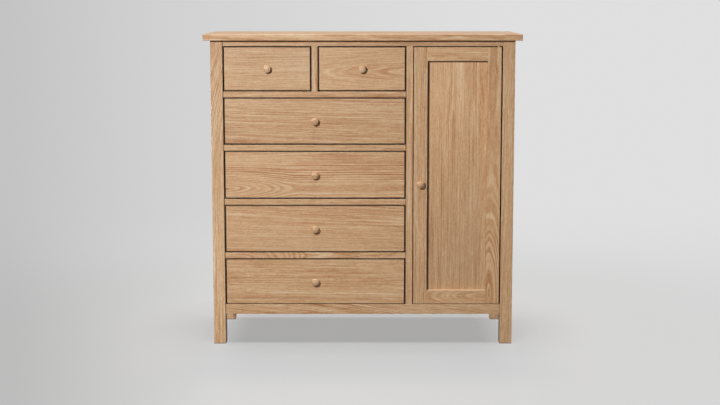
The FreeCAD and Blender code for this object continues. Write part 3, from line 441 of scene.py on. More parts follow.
def painted_gap_shade(w, axes, facing, front, in_gap, seams, outline):
    """How much painted shade a board gets, from 0 to 1, from standing in a gap, at a joint or beside a
    raised frame.

    in_gap is how much painted shade its edges get near the front, where another board stands close to
    them.
    seams is (axis, level, half width) of each line of painted shade: at a joint, along a foot, or where
    a frame shades a panel. outline is the (left, right, low, high, width) of a face that has a gap all
    round, which gets a rim of painted shade.
    """
    unshaded = 1.0
    turned = w.maths("ABSOLUTE", facing["y"])
    if in_gap:
        near = w.add("ShaderNodeAmbientOcclusion", samples=8)
        near.inputs["Distance"].default_value = GAP_REACH
        shut = w.fall(near.outputs["AO"], 0.5, 0.85)
        edge = w.times(w.fall(turned, 0.3, 0.6), shut)
        edge = w.times(edge, w.fall(axes["y"], front + GAP_DEPTH, front + GAP_DEPTH * 1.3))
        unshaded = w.times(unshaded, w.minus(1.0, w.times(edge, in_gap)))
    for axis, level, half in seams:
        off = w.maths("ABSOLUTE", w.minus(axes[axis], level))
        unshaded = w.times(unshaded, w.rise(off, half * 0.4, half, SEAM_LIGHT, 1.0))
    if outline:
        left, right, low, high, wide = outline
        inset = w.maths("MINIMUM", w.inset(axes["x"], left, right), w.inset(axes["z"], low, high))
        rim = w.times(w.fall(inset, wide * 0.4, wide, RIM_SHADE), w.rise(turned, 0.3, 0.6))
        unshaded = w.times(unshaded, w.minus(1.0, rim))
    return w.minus(1.0, unshaded)


GLUE_LINE, STAVE_FADE = 0.0004, 0.012


def paler_stave(w, axes, left, right, low, high, paler):
    """A glued stave that grows paler from low to high, sharp on its right and fading on its left."""
    inside = w.times(w.rise(axes["x"], left - STAVE_FADE, left + STAVE_FADE),
                     w.fall(axes["x"], right - GLUE_LINE, right + GLUE_LINE),
                     w.rise(axes["z"], low, high))
    return w.times(inside, paler)


def ledge_painted_light(w, z, facing_up, level, paler):
    """Edges that look up, below a level, painted paler as a highlight from the light above."""
    return w.times(w.rise(facing_up, 0.3, 0.7), w.maths("LESS_THAN", z, level), paler)


def oak_material(name, order, anchor, steps=(), upright=None, in_gap=0.0, seams=(),
                 outline=None, front=0.0, other=None, stave=None, ledge=None, **figure):
    """Oak for one node.

    order names the axes along the grain, across the face and into the face, with "-" before the last if
    the wood lies that way from the face and "|" if there is a board on each side of the middle. upright
    is (axis, low, high): between them the grain runs along z. other is (axis, start, end, figure) for
    what changes between two levels. stave is the figure of paler_stave, and ledge is the figure of
    ledge_painted_light, a painted highlight. The rest says where shade is painted: in gaps, along lines
    and round faces.
    """
    made, w, surface = new_material(name)
    spot = w.add("ShaderNodeTexCoord")
    axes = dict(zip("xyz", w.parts(spot.outputs["Object"])))
    facing = dict(zip("xyz", w.parts(spot.outputs["Normal"])))
    origin = dict(zip("xyz", anchor))

    def placed(letters, away):
        along, across, deep = letters
        reach = w.maths("ABSOLUTE", axes[deep]) if away == "|" else axes[deep]
        return w.vector(
            w.minus(axes[along], origin[along]),
            w.minus(axes[across], origin[across]),
            w.times(w.minus(reach, origin[deep]), 1.0 if away == "+" else -1.0),
        )

    letters, away = order[:2] + order[-1], order[2]
    place = placed(letters, away)
    end = w.maths("ABSOLUTE", facing[letters[0]])
    if upright:
        axis, low, high = upright
        inside = w.times(w.maths("GREATER_THAN", axes[axis], low), w.maths("LESS_THAN", axes[axis], high))
        place = w.mixed(inside, place, placed("zx" + letters[2], away))
        end = w.plus(w.times(end, w.minus(1.0, inside)),
                     w.times(w.maths("ABSOLUTE", facing["z"]), inside))

    oak = w.add("ShaderNodeGroup", node_tree=solid_oak())

    def setting(words):
        return oak.inputs[words.replace("_", " ").title()]

    w.feed_all(oak.inputs, {"Place": place, "End Grain": end})
    if steps:
        w.feed(oak.inputs["Board Number"], counted(w, axes, steps))
    for words, value in figure.items():
        setting(words).default_value = value
    if other:
        axis, start, stop, changed = other
        beyond = w.rise(axes[axis], start, stop)
        for words, value in changed.items():
            here = setting(words).default_value
            w.feed(setting(words), w.plus(here, w.times(beyond, value - here)))
    if stave:
        w.feed(oak.inputs["Paleness"], paler_stave(w, axes, *stave))
    if ledge:
        # A ledge is painted paler where it looks up: a painted highlight.
        w.feed(oak.inputs["Paleness"], ledge_painted_light(w, axes["z"], facing["z"], *ledge))
    wood = oak.outputs["Colour"]
    if in_gap or seams or outline:
        # Mix in the painted shade of gaps, joints, rims and shadow lines.
        painted_shade = painted_gap_shade(w, axes, facing, front, in_gap, seams, outline)
        wood = w.mixed(painted_shade, wood, (*bpy.context.scene.chifforobe_oak.painted_shade, 1.0))
    w.feed_all(surface.inputs, {
        "Base Color": wood,
        "Roughness": oak.outputs["Roughness"],
        "Normal": oak.outputs["Normal"],
        "Specular IOR Level": 0.32,
        "Coat Weight": 0.05,
        "Coat Roughness": 0.35,
    })
    return made


def finish_node(node, made):
    """Give a CAD node its material."""
    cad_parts[node].material_slots[0].material = made


def face_of(node, order):
    """The anchor of a node: the middle of its box, on the face that its figure is drawn on."""
    low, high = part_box(node)
    anchor = list((low + high) / 2)
    deep = "xyz".index(order[-1])
    anchor[deep] = low[deep] if order[2] == "+" else high[deep]
    return anchor


def finish_oak(node, order, **settings):
    """Give a CAD node its oak."""
    anchor = settings.pop("anchor", None) or face_of(node, order)
    settings.setdefault("front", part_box(node)[0].y)
    finish_node(node, oak_material(f"{node}_oak", order, anchor, **settings))


# Orders: grain, across the face, then the side that the wood lies on and the axis into it.
LYING = "xz+y"
STANDING = "zx+y"
LYING_BEHIND = "xz-y"
STANDING_BEHIND = "zx-y"
FLAT_LENGTHWISE = "xy-z"
FLAT_FRONT_TO_BACK = "yx-z"


# ---- metal and plastic ----

BRUSHED_ALONG = (0.05, 4.0, 4.0)
BRUSHED_ROUND = (2.0, 2.0, 2.0)


def metal_material(name, tint, roughness, brushed):
    """Metal with fine brush marks and a little wear. brushed stretches the marks along each axis."""
    made, w, surface = new_material(name)
    spot = w.in_millimetres()
    marks = w.noise(spot, brushed, 3.0, 0.65)
    wear = w.noise(spot, (0.09, 0.09, 0.09), 3.0, 0.6)
    darker = tuple(channel * 0.72 for channel in tint)
    w.feed_all(surface.inputs, {
        "Base Color": w.mixed(w.rise(wear, 0.35, 0.75), (*tint, 1.0), (*darker, 1.0)),
        "Roughness": w.plus(roughness - 0.09, w.times(marks, 0.18)),
        "Normal": w.relief(marks, 0.25, 0.00003),
        "Metallic": 1.0,
    })
    return made


def plastic_material(name, tint):
    """Moulded plastic with a spark-eroded grain."""
    made, w, surface = new_material(name)
    spot = w.in_millimetres()
    speckle = w.noise(spot, (3.5, 3.5, 3.5))
    cloud = w.noise(spot, (0.06, 0.06, 0.06))
    paler = tuple(min(1.0, channel * 1.25) for channel in tint)
    w.feed_all(surface.inputs, {
        "Base Color": w.mixed(cloud, (*tint, 1.0), (*paler, 1.0)),
        "Roughness": w.plus(0.42, w.times(speckle, 0.2)),
        "Normal": w.relief(speckle, 0.4, 0.00006),
    })
    return made


# Each finish: how it is made, the setting of its colour and, for metal, its roughness and marks.
FINISHES = {
    "hinge_brass_finish": (metal_material, "brass", 0.34, BRUSHED_ALONG),
    "rail_steel_finish": (metal_material, "steel", 0.16, BRUSHED_ALONG),
    "plate_steel_finish": (metal_material, "steel", 0.36, BRUSHED_ROUND),
    "catch_plastic_finish": (plastic_material, "plastic"),
}


def finish_fittings(name, *nodes):
    """Give fittings their finish, which is made the first time it is asked for."""
    make, tint, *rest = FINISHES[name]
    tint = getattr(bpy.context.scene.chifforobe_fittings, tint)
    made = bpy.data.materials.get(name) or make(name, tint, *rest)
    for node in nodes:
        finish_node(node, made)
    return made


# ---- screws and other small pieces ----

UP, DOWN, BACK = (0, 0, 1), (0, 0, -1), (0, 1, 0)
SCREW_SUNK = 0.0004
CUTTER_HIGH = 0.0009
CUTTER_OVER = 0.0001   # the middle of a cutter above the face of the head


def mesh_of(shape, name):
    """A mesh from a shape, which is let go."""
    mesh = bpy.data.meshes.new(name)
    shape.to_mesh(mesh)
    shape.free()
    return mesh


def put(name, data):
    """A new object in the scene."""
    made = bpy.data.objects.new(name, data)
    bpy.context.scene.collection.objects.link(made)
    return made


def new_piece(name, mesh, body, place):
    """Show a mesh as a piece that rides on a body, at a place given as a matrix."""
    piece = put(name, mesh)
    piece.matrix_world = place
    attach(piece, body)


def turned_mesh(name, outline, around=32):
    """A solid turned about z from an outline of (radius, height), from the axis and back to it."""
    shape = bmesh.new()
    rings = []
    for radius, height in outline:
        turns = [math.tau * i / around for i in range(around if radius else 1)]
        rings.append([shape.verts.new((radius * math.cos(turn), radius * math.sin(turn), height))
                      for turn in turns])
    for lower, upper in zip(rings, rings[1:]):
        for i in range(around):
            corners = [ring[k % around % len(ring)]
                       for ring, k in ((lower, i), (upper, i), (upper, i + 1), (lower, i + 1))]
            shape.faces.new(list(dict.fromkeys(corners)))
    bmesh.ops.recalc_face_normals(shape, faces=shape.faces)
    return mesh_of(shape, name)


def block_mesh(name, size, softened=0.0):
    """A box about the origin, its edges softened if it is told how far."""
    shape = bmesh.new()
    bmesh.ops.create_cube(shape, size=1.0)
    bmesh.ops.scale(shape, vec=size, verts=shape.verts)
    if softened:
        bmesh.ops.bevel(shape, geom=shape.edges[:], offset=softened, segments=2, affect="EDGES")
    return mesh_of(shape, name)


def cut_away(mesh, cutters, name):
    """The mesh with each cutter taken out of it."""
    solid = put(name, mesh)
    tools = []
    for cutter in cutters:
        tools.append(put(f"{name}_tool", cutter))
        taken = solid.modifiers.new("cut", "BOOLEAN")
        taken.operation = "DIFFERENCE"
        taken.solver = "EXACT"
        taken.object = tools[-1]
    evaluated = solid.evaluated_get(bpy.context.evaluated_depsgraph_get())
    result = bpy.data.meshes.new_from_object(evaluated)
    result.name = name
    for thing in (solid, *tools):
        bpy.data.objects.remove(thing)
    return result


def screw_mesh(across, proud, made):
    """The head of a countersunk screw with a cross recess, its face at proud above z = 0."""
    name = f"screw_head_{round(across * 1e4)}"
    found = bpy.data.meshes.get(name)
    if found:
        return found
    radius = across / 2
    outline = ((0, -SCREW_SUNK), (radius * 0.90, -SCREW_SUNK), (radius, 0), (radius, proud * 0.45),
               (radius * 0.93, proud), (0, proud))
    arm_long, arm_wide = across * 0.62, across * 0.13
    cutters = []
    for turn in (0.0, math.pi / 2):
        cutter = block_mesh("recess", (arm_long, arm_wide, CUTTER_HIGH))
        cutter.transform(Matrix.Rotation(turn, 4, "Z"))
        cutter.transform(Matrix.Translation((0, 0, proud + CUTTER_OVER)))
        cutters.append(cutter)
    head = cut_away(turned_mesh(f"{name}_blank", outline), cutters, name)
    head.materials.append(made)
    return head


def drive_screws(name, spots, direction, body, made, size, spin, step=1.0):
    """Set screw heads in a face, their axes along direction and each recess turned further by step."""
    lean = Vector(UP).rotation_difference(Vector(direction)).to_matrix().to_4x4()
    for i, spot in enumerate(spots):
        place = Matrix.Translation(spot) @ lean @ Matrix.Rotation(spin + step * i, 4, "Z")
        new_piece(f"{name}_{i + 1}", screw_mesh(*size, made), body, place)


# ---- the case ----

POST_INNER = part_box("front_right_post")[0].x
STILE_LEFT, STILE_RIGHT = (corner.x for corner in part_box("centre_stile"))
# Lines of painted shade along the posts' inner edges, where they meet the rails, and along the foot of
# every post.
POST_JOINTS = (("x", -POST_INNER, TIGHT_JOINT), ("x", POST_INNER, TIGHT_JOINT))
FOOT_CONTACT_SHADE = ("z", 0.0, WIDE_JOINT)
WAVY_RAIL = 0.345  # level of the rail over the bottom drawer


class CHIFFOROBE_OT_top(Operator):
    """Finish the top board, glued up from five planks."""

    bl_idname = "chifforobe.top"
    bl_label = "Top board"

    def execute(self, context):
        # The top's front edge keeps tone 0.91 while the rest rises to 0.96: the edge is painted darker, as
        # shade.
        finish_oak("top_panel", FLAT_LENGTHWISE, steps=(("y", -0.25, 0.1),), apart=0.8, seed=3.0,
                   pith_deep=0.06, lean_deep=-0.03, lean_across=0.03, waver=1.1, tone=0.91,
                   other=("y", -0.2486, -0.2482, dict(tone=0.96)))
        return {"FINISHED"}


class CHIFFOROBE_OT_posts(Operator):
    """Finish the four posts."""

    bl_idname = "chifforobe.posts"
    bl_label = "Posts"

    def execute(self, context):
        finish_oak("front_left_post", STANDING, seed=15.0, pith_across=-0.12, pith_deep=0.05, bend=0.30,
                   tone=1.10, paleness=0.09, contrast=1.4, streak=1.3, waver=0.8,
                   other=("z", 0.0, 0.9, dict(tone=0.94)), in_gap=FRAME_GAP_SHADE,
                   seams=(FOOT_CONTACT_SHADE, ("x", -POST_INNER, WIDE_JOINT)))
        finish_oak("front_right_post", STANDING, seed=12.0, pith_across=0.07, pith_deep=0.06,
                   lean_across=0.01, contrast=0.8, tone=1.02, in_gap=FRAME_GAP_SHADE,
                   seams=(FOOT_CONTACT_SHADE, POST_JOINTS[1]))
        for side, seed, pith in (("left", 13.0, 0.06), ("right", 14.0, -0.05)):
            finish_oak(f"rear_{side}_post", STANDING_BEHIND, seed=seed, pith_across=pith,
                       seams=(FOOT_CONTACT_SHADE,))
        return {"FINISHED"}


class CHIFFOROBE_OT_front_frame(Operator):
    """Finish the rails, the centre stile and the muntin of the front."""

    bl_idname = "chifforobe.front_frame"
    bl_label = "Front frame"

    def execute(self, context):
        finish_oak("front_top_rail", LYING, seed=21.0, pith_across=-0.06, lean_across=0.02, tone=0.885,
                   in_gap=FRAME_GAP_SHADE, seams=POST_JOINTS)
        finish_oak("front_bottom_rail", LYING, seed=22.0, pith_across=0.15, pith_deep=0.05,
                   lean_across=-0.13, lean_deep=0.0, tone=0.99, streak=1.3, in_gap=FRAME_GAP_SHADE,
                   seams=POST_JOINTS)
        plain = dict(pith_across=0.05, pith_deep=0.09, lean_deep=0.02, lean_across=0.0, ring=0.0062,
                     contrast=1.0, tone=0.962)
        finish_oak("drawer_rails", LYING, seed=23.0, pith_across=0.0, pith_deep=0.035, lean_deep=0.28,
                   lean_across=0.06, reach=0.12, ring=0.0056, contrast=1.5, waver=1.3, tone=1.03,
                   paleness=0.03, other=("z", 0.4, 0.5, plain), in_gap=FRAME_GAP_SHADE,
                   anchor=(-0.34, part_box("drawer_rails")[0].y, WAVY_RAIL),
                   seams=(POST_JOINTS[0], ("x", STILE_LEFT, TIGHT_JOINT)))
        finish_oak("centre_stile", STANDING, seed=24.0, pith_across=0.08, contrast=0.7,
                   in_gap=FRAME_GAP_SHADE,
                   seams=(("x", STILE_LEFT, OPEN_JOINT), ("x", STILE_RIGHT, TIGHT_JOINT)))
        low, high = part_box("top_muntin")
        finish_oak("top_muntin", STANDING, seed=25.0, pith_across=0.07, contrast=0.7, tone=0.96,
                   in_gap=FRAME_GAP_SHADE, seams=(("x", low.x, MUNTIN_JOINT), ("x", high.x, OPEN_JOINT)))
        return {"FINISHED"}


class CHIFFOROBE_OT_side_frames(Operator):
    """Finish the rails and panels of the two sides."""

    bl_idname = "chifforobe.side_frames"
    bl_label = "Side frames"

    def execute(self, context):
        left_or_right = ("x", -1.0, 1.0)
        finish_oak("side_rails", "yz|x", seed=31.0, steps=(left_or_right, ("z", 0.0, 0.6)), apart=0.8,
                   pith_across=0.05)
        finish_oak("side_panels", "zy|x", seed=32.0, steps=(left_or_right, ("y", -0.19, 0.1)),
                   apart=0.9, pith_deep=0.07)
        return {"FINISHED"}


class CHIFFOROBE_OT_back(Operator):
    """Finish the frame and the panels of the back."""

    bl_idname = "chifforobe.back"
    bl_label = "Back"

    def execute(self, context):
        finish_oak("back_frame", LYING_BEHIND, seed=41.0, steps=(("z", 0.0, 0.6),), apart=0.8,
                   upright=("z", 0.1765, 1.096), pith_across=0.06)
        finish_oak("back_panels", STANDING_BEHIND, seed=42.0, steps=(("x", -0.534, 0.094),), apart=1.0,
                   pith_deep=0.07, tone=0.97)
        return {"FINISHED"}


class CHIFFOROBE_OT_inside(Operator):
    """Finish the partition, floor, runners, kickers and bearer."""

    bl_idname = "chifforobe.inside"
    bl_label = "Inside of the case"

    def execute(self, context):
        finish_oak("partition_panel", "zy+x", seed=51.0, steps=(("y", -0.181, 0.1),), apart=0.9)
        finish_oak("case_floor", FLAT_LENGTHWISE, seed=52.0, steps=(("y", -0.21, 0.11),), apart=0.9)
        bays = ("x", -0.6, 0.3)
        finish_oak("drawer_runners", FLAT_FRONT_TO_BACK, seed=53.0, apart=0.9,
                   steps=(("z", 0.10, 0.2), bays))
        finish_oak("top_kickers", FLAT_FRONT_TO_BACK, seed=54.0, apart=0.9, steps=(bays,))
        finish_oak("rear_bearer", LYING, seed=55.0)
        return {"FINISHED"}


# ---- the drawers ----

FRONT_FIGURES = {
    "top_left_drawer": dict(seed=61.0, pith_across=0.20, pith_deep=0.10, contrast=0.6, streak=0.8,
                            waver=0.5, paleness=0.04, tone=0.93),
    "top_right_drawer": dict(seed=62.0, pith_across=-0.010, pith_deep=0.040, lean_deep=-0.07, waver=0.6,
                             contrast=0.7, streak=0.8),
    "second_drawer": dict(seed=63.0, pith_across=-0.125, pith_deep=0.10, lean_deep=0.03, waver=0.6,
                          tone=0.925),
    "third_drawer": dict(seed=64.0, pith_across=-0.053, pith_deep=0.022, lean_deep=0.16, reach=0.12,
                         waver=0.7, contrast=2.1, streak=0.8, paleness=0.10),
    "fourth_drawer": dict(seed=65.0, pith_across=0.13, pith_deep=0.10, lean_deep=-0.035, waver=0.6,
                          streak=0.85),
    "bottom_drawer": dict(seed=66.0, pith_across=-0.20, pith_deep=0.09, contrast=0.8, waver=0.9,
                          tone=1.01),
}
FIGURE_AT = {"third_drawer": -0.395}   # where along a front its arches start, if not in its middle
# Each drawer front gets a rim of painted shade, FRONT_RIM wide, round its face.
NARROW_BELOW = {"bottom_drawer": 0.0015}  # how much of the dark rim a narrow gap leaves out
FRONT_RIM = 0.0030


class CHIFFOROBE_OT_drawer_fronts(Operator):
    """Finish the six drawer fronts, each from its own board."""

    bl_idname = "chifforobe.drawer_fronts"
    bl_label = "Drawer fronts"

    def execute(self, context):
        for drawer, figure in FRONT_FIGURES.items():
            front = f"{drawer}_front"
            low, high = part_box(front)
            anchor = face_of(front, LYING)
            anchor[0] = FIGURE_AT.get(drawer, anchor[0])
            rim = (low.x, high.x, low.z - NARROW_BELOW.get(drawer, 0.0), high.z, FRONT_RIM)
            finish_oak(front, LYING, anchor=anchor, in_gap=FRONT_GAP_SHADE, outline=rim, **figure)
        return {"FINISHED"}


class CHIFFOROBE_OT_drawer_boxes(Operator):
    """Finish the sides, backs and bottoms of the drawers."""

    bl_idname = "chifforobe.drawer_boxes"
    bl_label = "Drawer boxes"

    def execute(self, context):
        for i, drawer in enumerate(DRAWERS):
            low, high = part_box(f"{drawer}_sides")
            finish_oak(f"{drawer}_sides", "yz+x", seed=71.0 + i, apart=0.8,
                       steps=(("x", (low.x + high.x) / 2, 1.0),), pith_across=0.09, tone=1.02)
            finish_oak(f"{drawer}_back", LYING_BEHIND, seed=81.0 + i, pith_across=0.08)
            finish_oak(f"{drawer}_bottom", FLAT_LENGTHWISE, seed=91.0 + i, apart=0.9, pith_deep=0.07,
                       steps=(("y", -0.22, 0.105),), tone=0.98)
        return {"FINISHED"}


# ---- the knobs ----

WEDGE = (0.0118, 0.0012, 0.0016)
WEDGE_SOFTENED, WEDGE_SUNK = 0.00015, 0.0003


class CHIFFOROBE_OT_knobs(Operator):
    """Finish the turned knobs and wedge their spigots across the grain of their boards."""

    bl_idname = "chifforobe.knobs"
    bl_label = "Knobs"

    def execute(self, context):
        wedge = block_mesh("knob_wedge", WEDGE, WEDGE_SOFTENED)
        wedge.materials.append(
            oak_material("wedge_oak", "yz+x", (0.0, 0.0, 0.0), seed=120.0, tone=0.55))
        for i, knob in enumerate(KNOBS):
            low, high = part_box(knob)
            middle = (low + high) / 2
            finish_oak(knob, LYING, seed=101.0 + i, pith_across=0.03, pith_deep=0.04, contrast=0.5,
                       tone=0.96, paleness=0.04, anchor=list(middle))
            body = knob.removesuffix("_knob")
            turn = Matrix.Rotation(0.0 if body == "door" else math.pi / 2, 4, "Y")
            at = Matrix.Translation((middle.x, high.y - WEDGE_SUNK, middle.z))
            new_piece(f"{knob}_wedge", wedge, body, at @ turn)
        return {"FINISHED"}


# ---- the door and its fittings ----

# The door gets a rim of painted shade round its frame, DOOR_RIM wide.
DOOR_RIM = 0.0014
DOOR_RIM_BELOW = 0.002   # how far under the door its rim starts, so that its lower edge has none
# Half widths of the painted shadows that the knob stile and the top rail cast on the panel.
SHADE_BESIDE_STILE, SHADE_UNDER_RAIL = 0.0120, 0.0085
FLAMES_LEVEL = 0.42
ARCHES_AT = (0.33, 0.183)
LIGHT_STAVE = (0.352, 0.3845, 0.70, 1.06, 0.24)
# The lower rail's upward edges are painted paler: a painted highlight.
LOWER_LEDGE_LIGHT = (0.3, 0.7)


class CHIFFOROBE_OT_door(Operator):
    """Finish the stiles, rails and panel of the door."""

    bl_idname = "chifforobe.door"
    bl_label = "Door"

    def execute(self, context):
        left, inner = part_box("door_knob_stile")
        hinge_stile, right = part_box("door_hinge_stile")
        top_inside = right.z - (inner.x - left.x)
        rim = (left.x, right.x, left.z - DOOR_RIM_BELOW, right.z, DOOR_RIM)
        finish_oak("door_knob_stile", STANDING, seed=111.0, pith_across=-0.09, pith_deep=0.07,
                   lean_across=0.02, tone=0.975, in_gap=FRONT_GAP_SHADE, outline=rim)
        finish_oak("door_hinge_stile", STANDING, seed=112.0, pith_across=-0.010, pith_deep=0.040,
                   lean_deep=0.16, reach=0.22, ring=0.0085, waver=0.8, streak=0.8, contrast=1.5,
                   tone=1.07, other=("z", 0.50, 0.90, dict(contrast=0.6)), in_gap=FRONT_GAP_SHADE,
                   anchor=((hinge_stile.x + right.x) / 2, left.y, FLAMES_LEVEL), outline=rim)
        upper_rail = dict(pith_across=-0.10, pith_deep=0.06, lean_deep=0.02, ring=0.0062, contrast=1.0,
                          tone=1.09)
        finish_oak("door_rails", LYING, seed=113.0, waver=0.6, pith_across=0.004, pith_deep=0.028,
                   lean_deep=-0.20, reach=0.10, ring=0.0052, contrast=1.7, tone=1.05,
                   other=("z", 0.5, 0.7, upper_rail), in_gap=0.15, ledge=LOWER_LEDGE_LIGHT,
                   anchor=(ARCHES_AT[0], left.y, ARCHES_AT[1]), outline=rim)
        # The panel's tone rises from 0.91 at its foot to 1.16 at its top: painted shade that deepens
        # towards the bottom. Its two shade lines are painted shadows of the knob stile and the top rail.
        finish_oak("door_panel", STANDING, seed=118.0, steps=(("x", 0.210, 0.088),), apart=0.5,
                   pith_across=0.12, pith_deep=0.08, lean_deep=0.01, waver=0.6, streak=0.85, tone=0.91,
                   other=("z", 0.2, 1.2, dict(tone=1.16)), stave=LIGHT_STAVE,
                   seams=(("x", inner.x, SHADE_BESIDE_STILE), ("z", top_inside, SHADE_UNDER_RAIL)))
        return {"FINISHED"}


LEAF_THICK, HINGE_SCREWS_APART = 0.0025, 0.018


class CHIFFOROBE_OT_hinges(Operator):
    """Finish the pivot hinges and drive their screws."""

    bl_idname = "chifforobe.hinges"
    bl_label = "Pivot hinges"

    def execute(self, context):
        fittings = context.scene.chifforobe_fittings
        brass = finish_fittings("hinge_brass_finish", "hinge_frame_leaves", "hinge_door_leaves")
        low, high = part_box("hinge_frame_leaves")
        door_low, door_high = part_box("door_hinge_stile")
        faces = (
            ("upper_frame", "case", high.z - LEAF_THICK, DOWN),
            ("lower_frame", "case", low.z + LEAF_THICK, UP),
            ("upper_door", "door", door_high.z, UP),
            ("lower_door", "door", door_low.z, DOWN),
        )
        first, y = low.x + (high.y - low.y) / 2, (low.y + high.y) / 2
        size = (fittings.screw_head, fittings.screw_proud)
        for i, (name, body, z, direction) in enumerate(faces):
            spots = [(x, y, z) for x in (first, first + HINGE_SCREWS_APART)]
            drive_screws(f"hinge_screw_{name}", spots, direction, body, brass, size,
                         0.4 + 1.1 * i, 0.7)
        return {"FINISHED"}


POLE = (0.030, 0.0016, 0.0014)
POLE_SOFTENED, POLE_SUNK = 0.0002, 0.0007
POLE_LEVELS = (0.0035, 0.0085)
CATCH_SCREW = (0.0055, 0.0003)   # across the head, and how proud it is
CATCH_SCREW_IN, CATCH_SCREW_BACK = 0.005, 0.001
STRIKE_SCREW = (0.0042, 0.0002)
STRIKE_SCREW_OUT = 0.0165


class CHIFFOROBE_OT_catch(Operator):
    """Finish the magnetic catch, with its pole pieces, and its strike plate."""

    bl_idname = "chifforobe.catch"
    bl_label = "Catch"

    def execute(self, context):
        steel = finish_fittings("plate_steel_finish", "catch_strike_plate")
        finish_fittings("catch_plastic_finish", "door_catch")
        low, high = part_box("door_catch")
        middle = (low + high) / 2
        pole = block_mesh("pole_piece", POLE, POLE_SOFTENED)
        pole.materials.append(steel)
        for i, level in enumerate(POLE_LEVELS):
            at = Matrix.Translation((middle.x, low.y + POLE_SUNK, low.z + level))
            new_piece(f"catch_pole_{i + 1}", pole, "case", at)
        spots = [(x, middle.y + CATCH_SCREW_BACK, low.z)
                 for x in (low.x + CATCH_SCREW_IN, high.x - CATCH_SCREW_IN)]
        drive_screws("catch_screw", spots, DOWN, "case", steel, CATCH_SCREW, 0.5)
        low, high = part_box("catch_strike_plate")
        middle = (low + high) / 2
        spots = [(middle.x + out, high.y, middle.z) for out in (-STRIKE_SCREW_OUT, STRIKE_SCREW_OUT)]
        drive_screws("strike_screw", spots, BACK, "door", steel, STRIKE_SCREW, 0.2)
        return {"FINISHED"}


FLANGE_THICK = 0.004
SOCKET_SCREW = (0.0060, 0.0003)
SOCKET_SCREWS_OUT = 0.0195


class CHIFFOROBE_OT_hanging_rail(Operator):
    """Finish the hanging rail and screw its sockets to the sides."""

    bl_idname = "chifforobe.hanging_rail"
    bl_label = "Hanging rail"

    def execute(self, context):
        steel = finish_fittings("rail_steel_finish", "hanging_rail", "rail_sockets")
        low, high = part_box("rail_sockets")
        middle = (low + high) / 2
        turns = [math.radians(90 + 120 * i) for i in range(3)]
        for side, x, direction in (("left", low.x + FLANGE_THICK, (1, 0, 0)),
                                   ("right", high.x - FLANGE_THICK, (-1, 0, 0))):
            spots = [(x, middle.y + SOCKET_SCREWS_OUT * math.cos(turn),
                      middle.z + SOCKET_SCREWS_OUT * math.sin(turn)) for turn in turns]
            drive_screws(f"socket_screw_{side}", spots, direction, "case", steel,
                         SOCKET_SCREW, 0.3)
        return {"FINISHED"}


# ---- the studio ----

def sweep_mesh():
    """A floor that curves up into a backdrop."""
    front, back, wide, high, bend = -9.0, 9.0, 11.0, 6.0, 2.5
    turns = [math.radians(a) for a in range(6, 91, 6)]
    curve = [(back - bend + bend * math.sin(turn), bend - bend * math.cos(turn)) for turn in turns]
    outline = [(front, 0.0), (back - bend, 0.0), *curve, (back, high)]
    shape = bmesh.new()
    rows = [[shape.verts.new((x, y, z)) for y, z in outline] for x in (-wide, wide)]
    for i in range(len(outline) - 1):
        face = shape.faces.new((rows[0][i], rows[1][i], rows[1][i + 1], rows[0][i + 1]))
        face.smooth = True
    bmesh.ops.recalc_face_normals(shape, faces=shape.faces)
    return mesh_of(shape, "studio_sweep")


WALL_TONE = 0.70
# The paper carries a painted shade that deepens to the left, in a fan that opens from where the viewer
# stands: (sideways over distance, share of its brightest), far from the piece and near it.
FAN_APEX = -5.764
FAN_SPAN = 0.5
FAR_TONES = ((-0.245, 0.738), (-0.14, 0.86), (0.0, 0.946), (0.09, 1.0))
NEAR_TONES = ((-0.245, 0.712), (-0.10, 0.958), (0.0, 0.958), (0.10, 0.945))
OPEN_TONE = (0.958, 0.958, 0.958, 1.0)     # the floor from the viewer's feet to the fan
SHADE_BEFORE = (0.870, 0.887, 0.900, 1.0)  # soft shade on the floor just before the case
LIGHT_BY_LEGS = 0.28                       # share of the shade that is missing beside the legs
WHITE = (1.0, 1.0, 1.0, 1.0)


def looked_at(w):
    """1 where a surface is seen, straight or in a reflection, and 0 where it would only give light."""
    path = w.add("ShaderNodeLightPath").outputs
    return w.maths("MAXIMUM", path["Is Camera Ray"],
                   w.maths("MAXIMUM", path["Is Glossy Ray"], path["Is Transmission Ray"]))


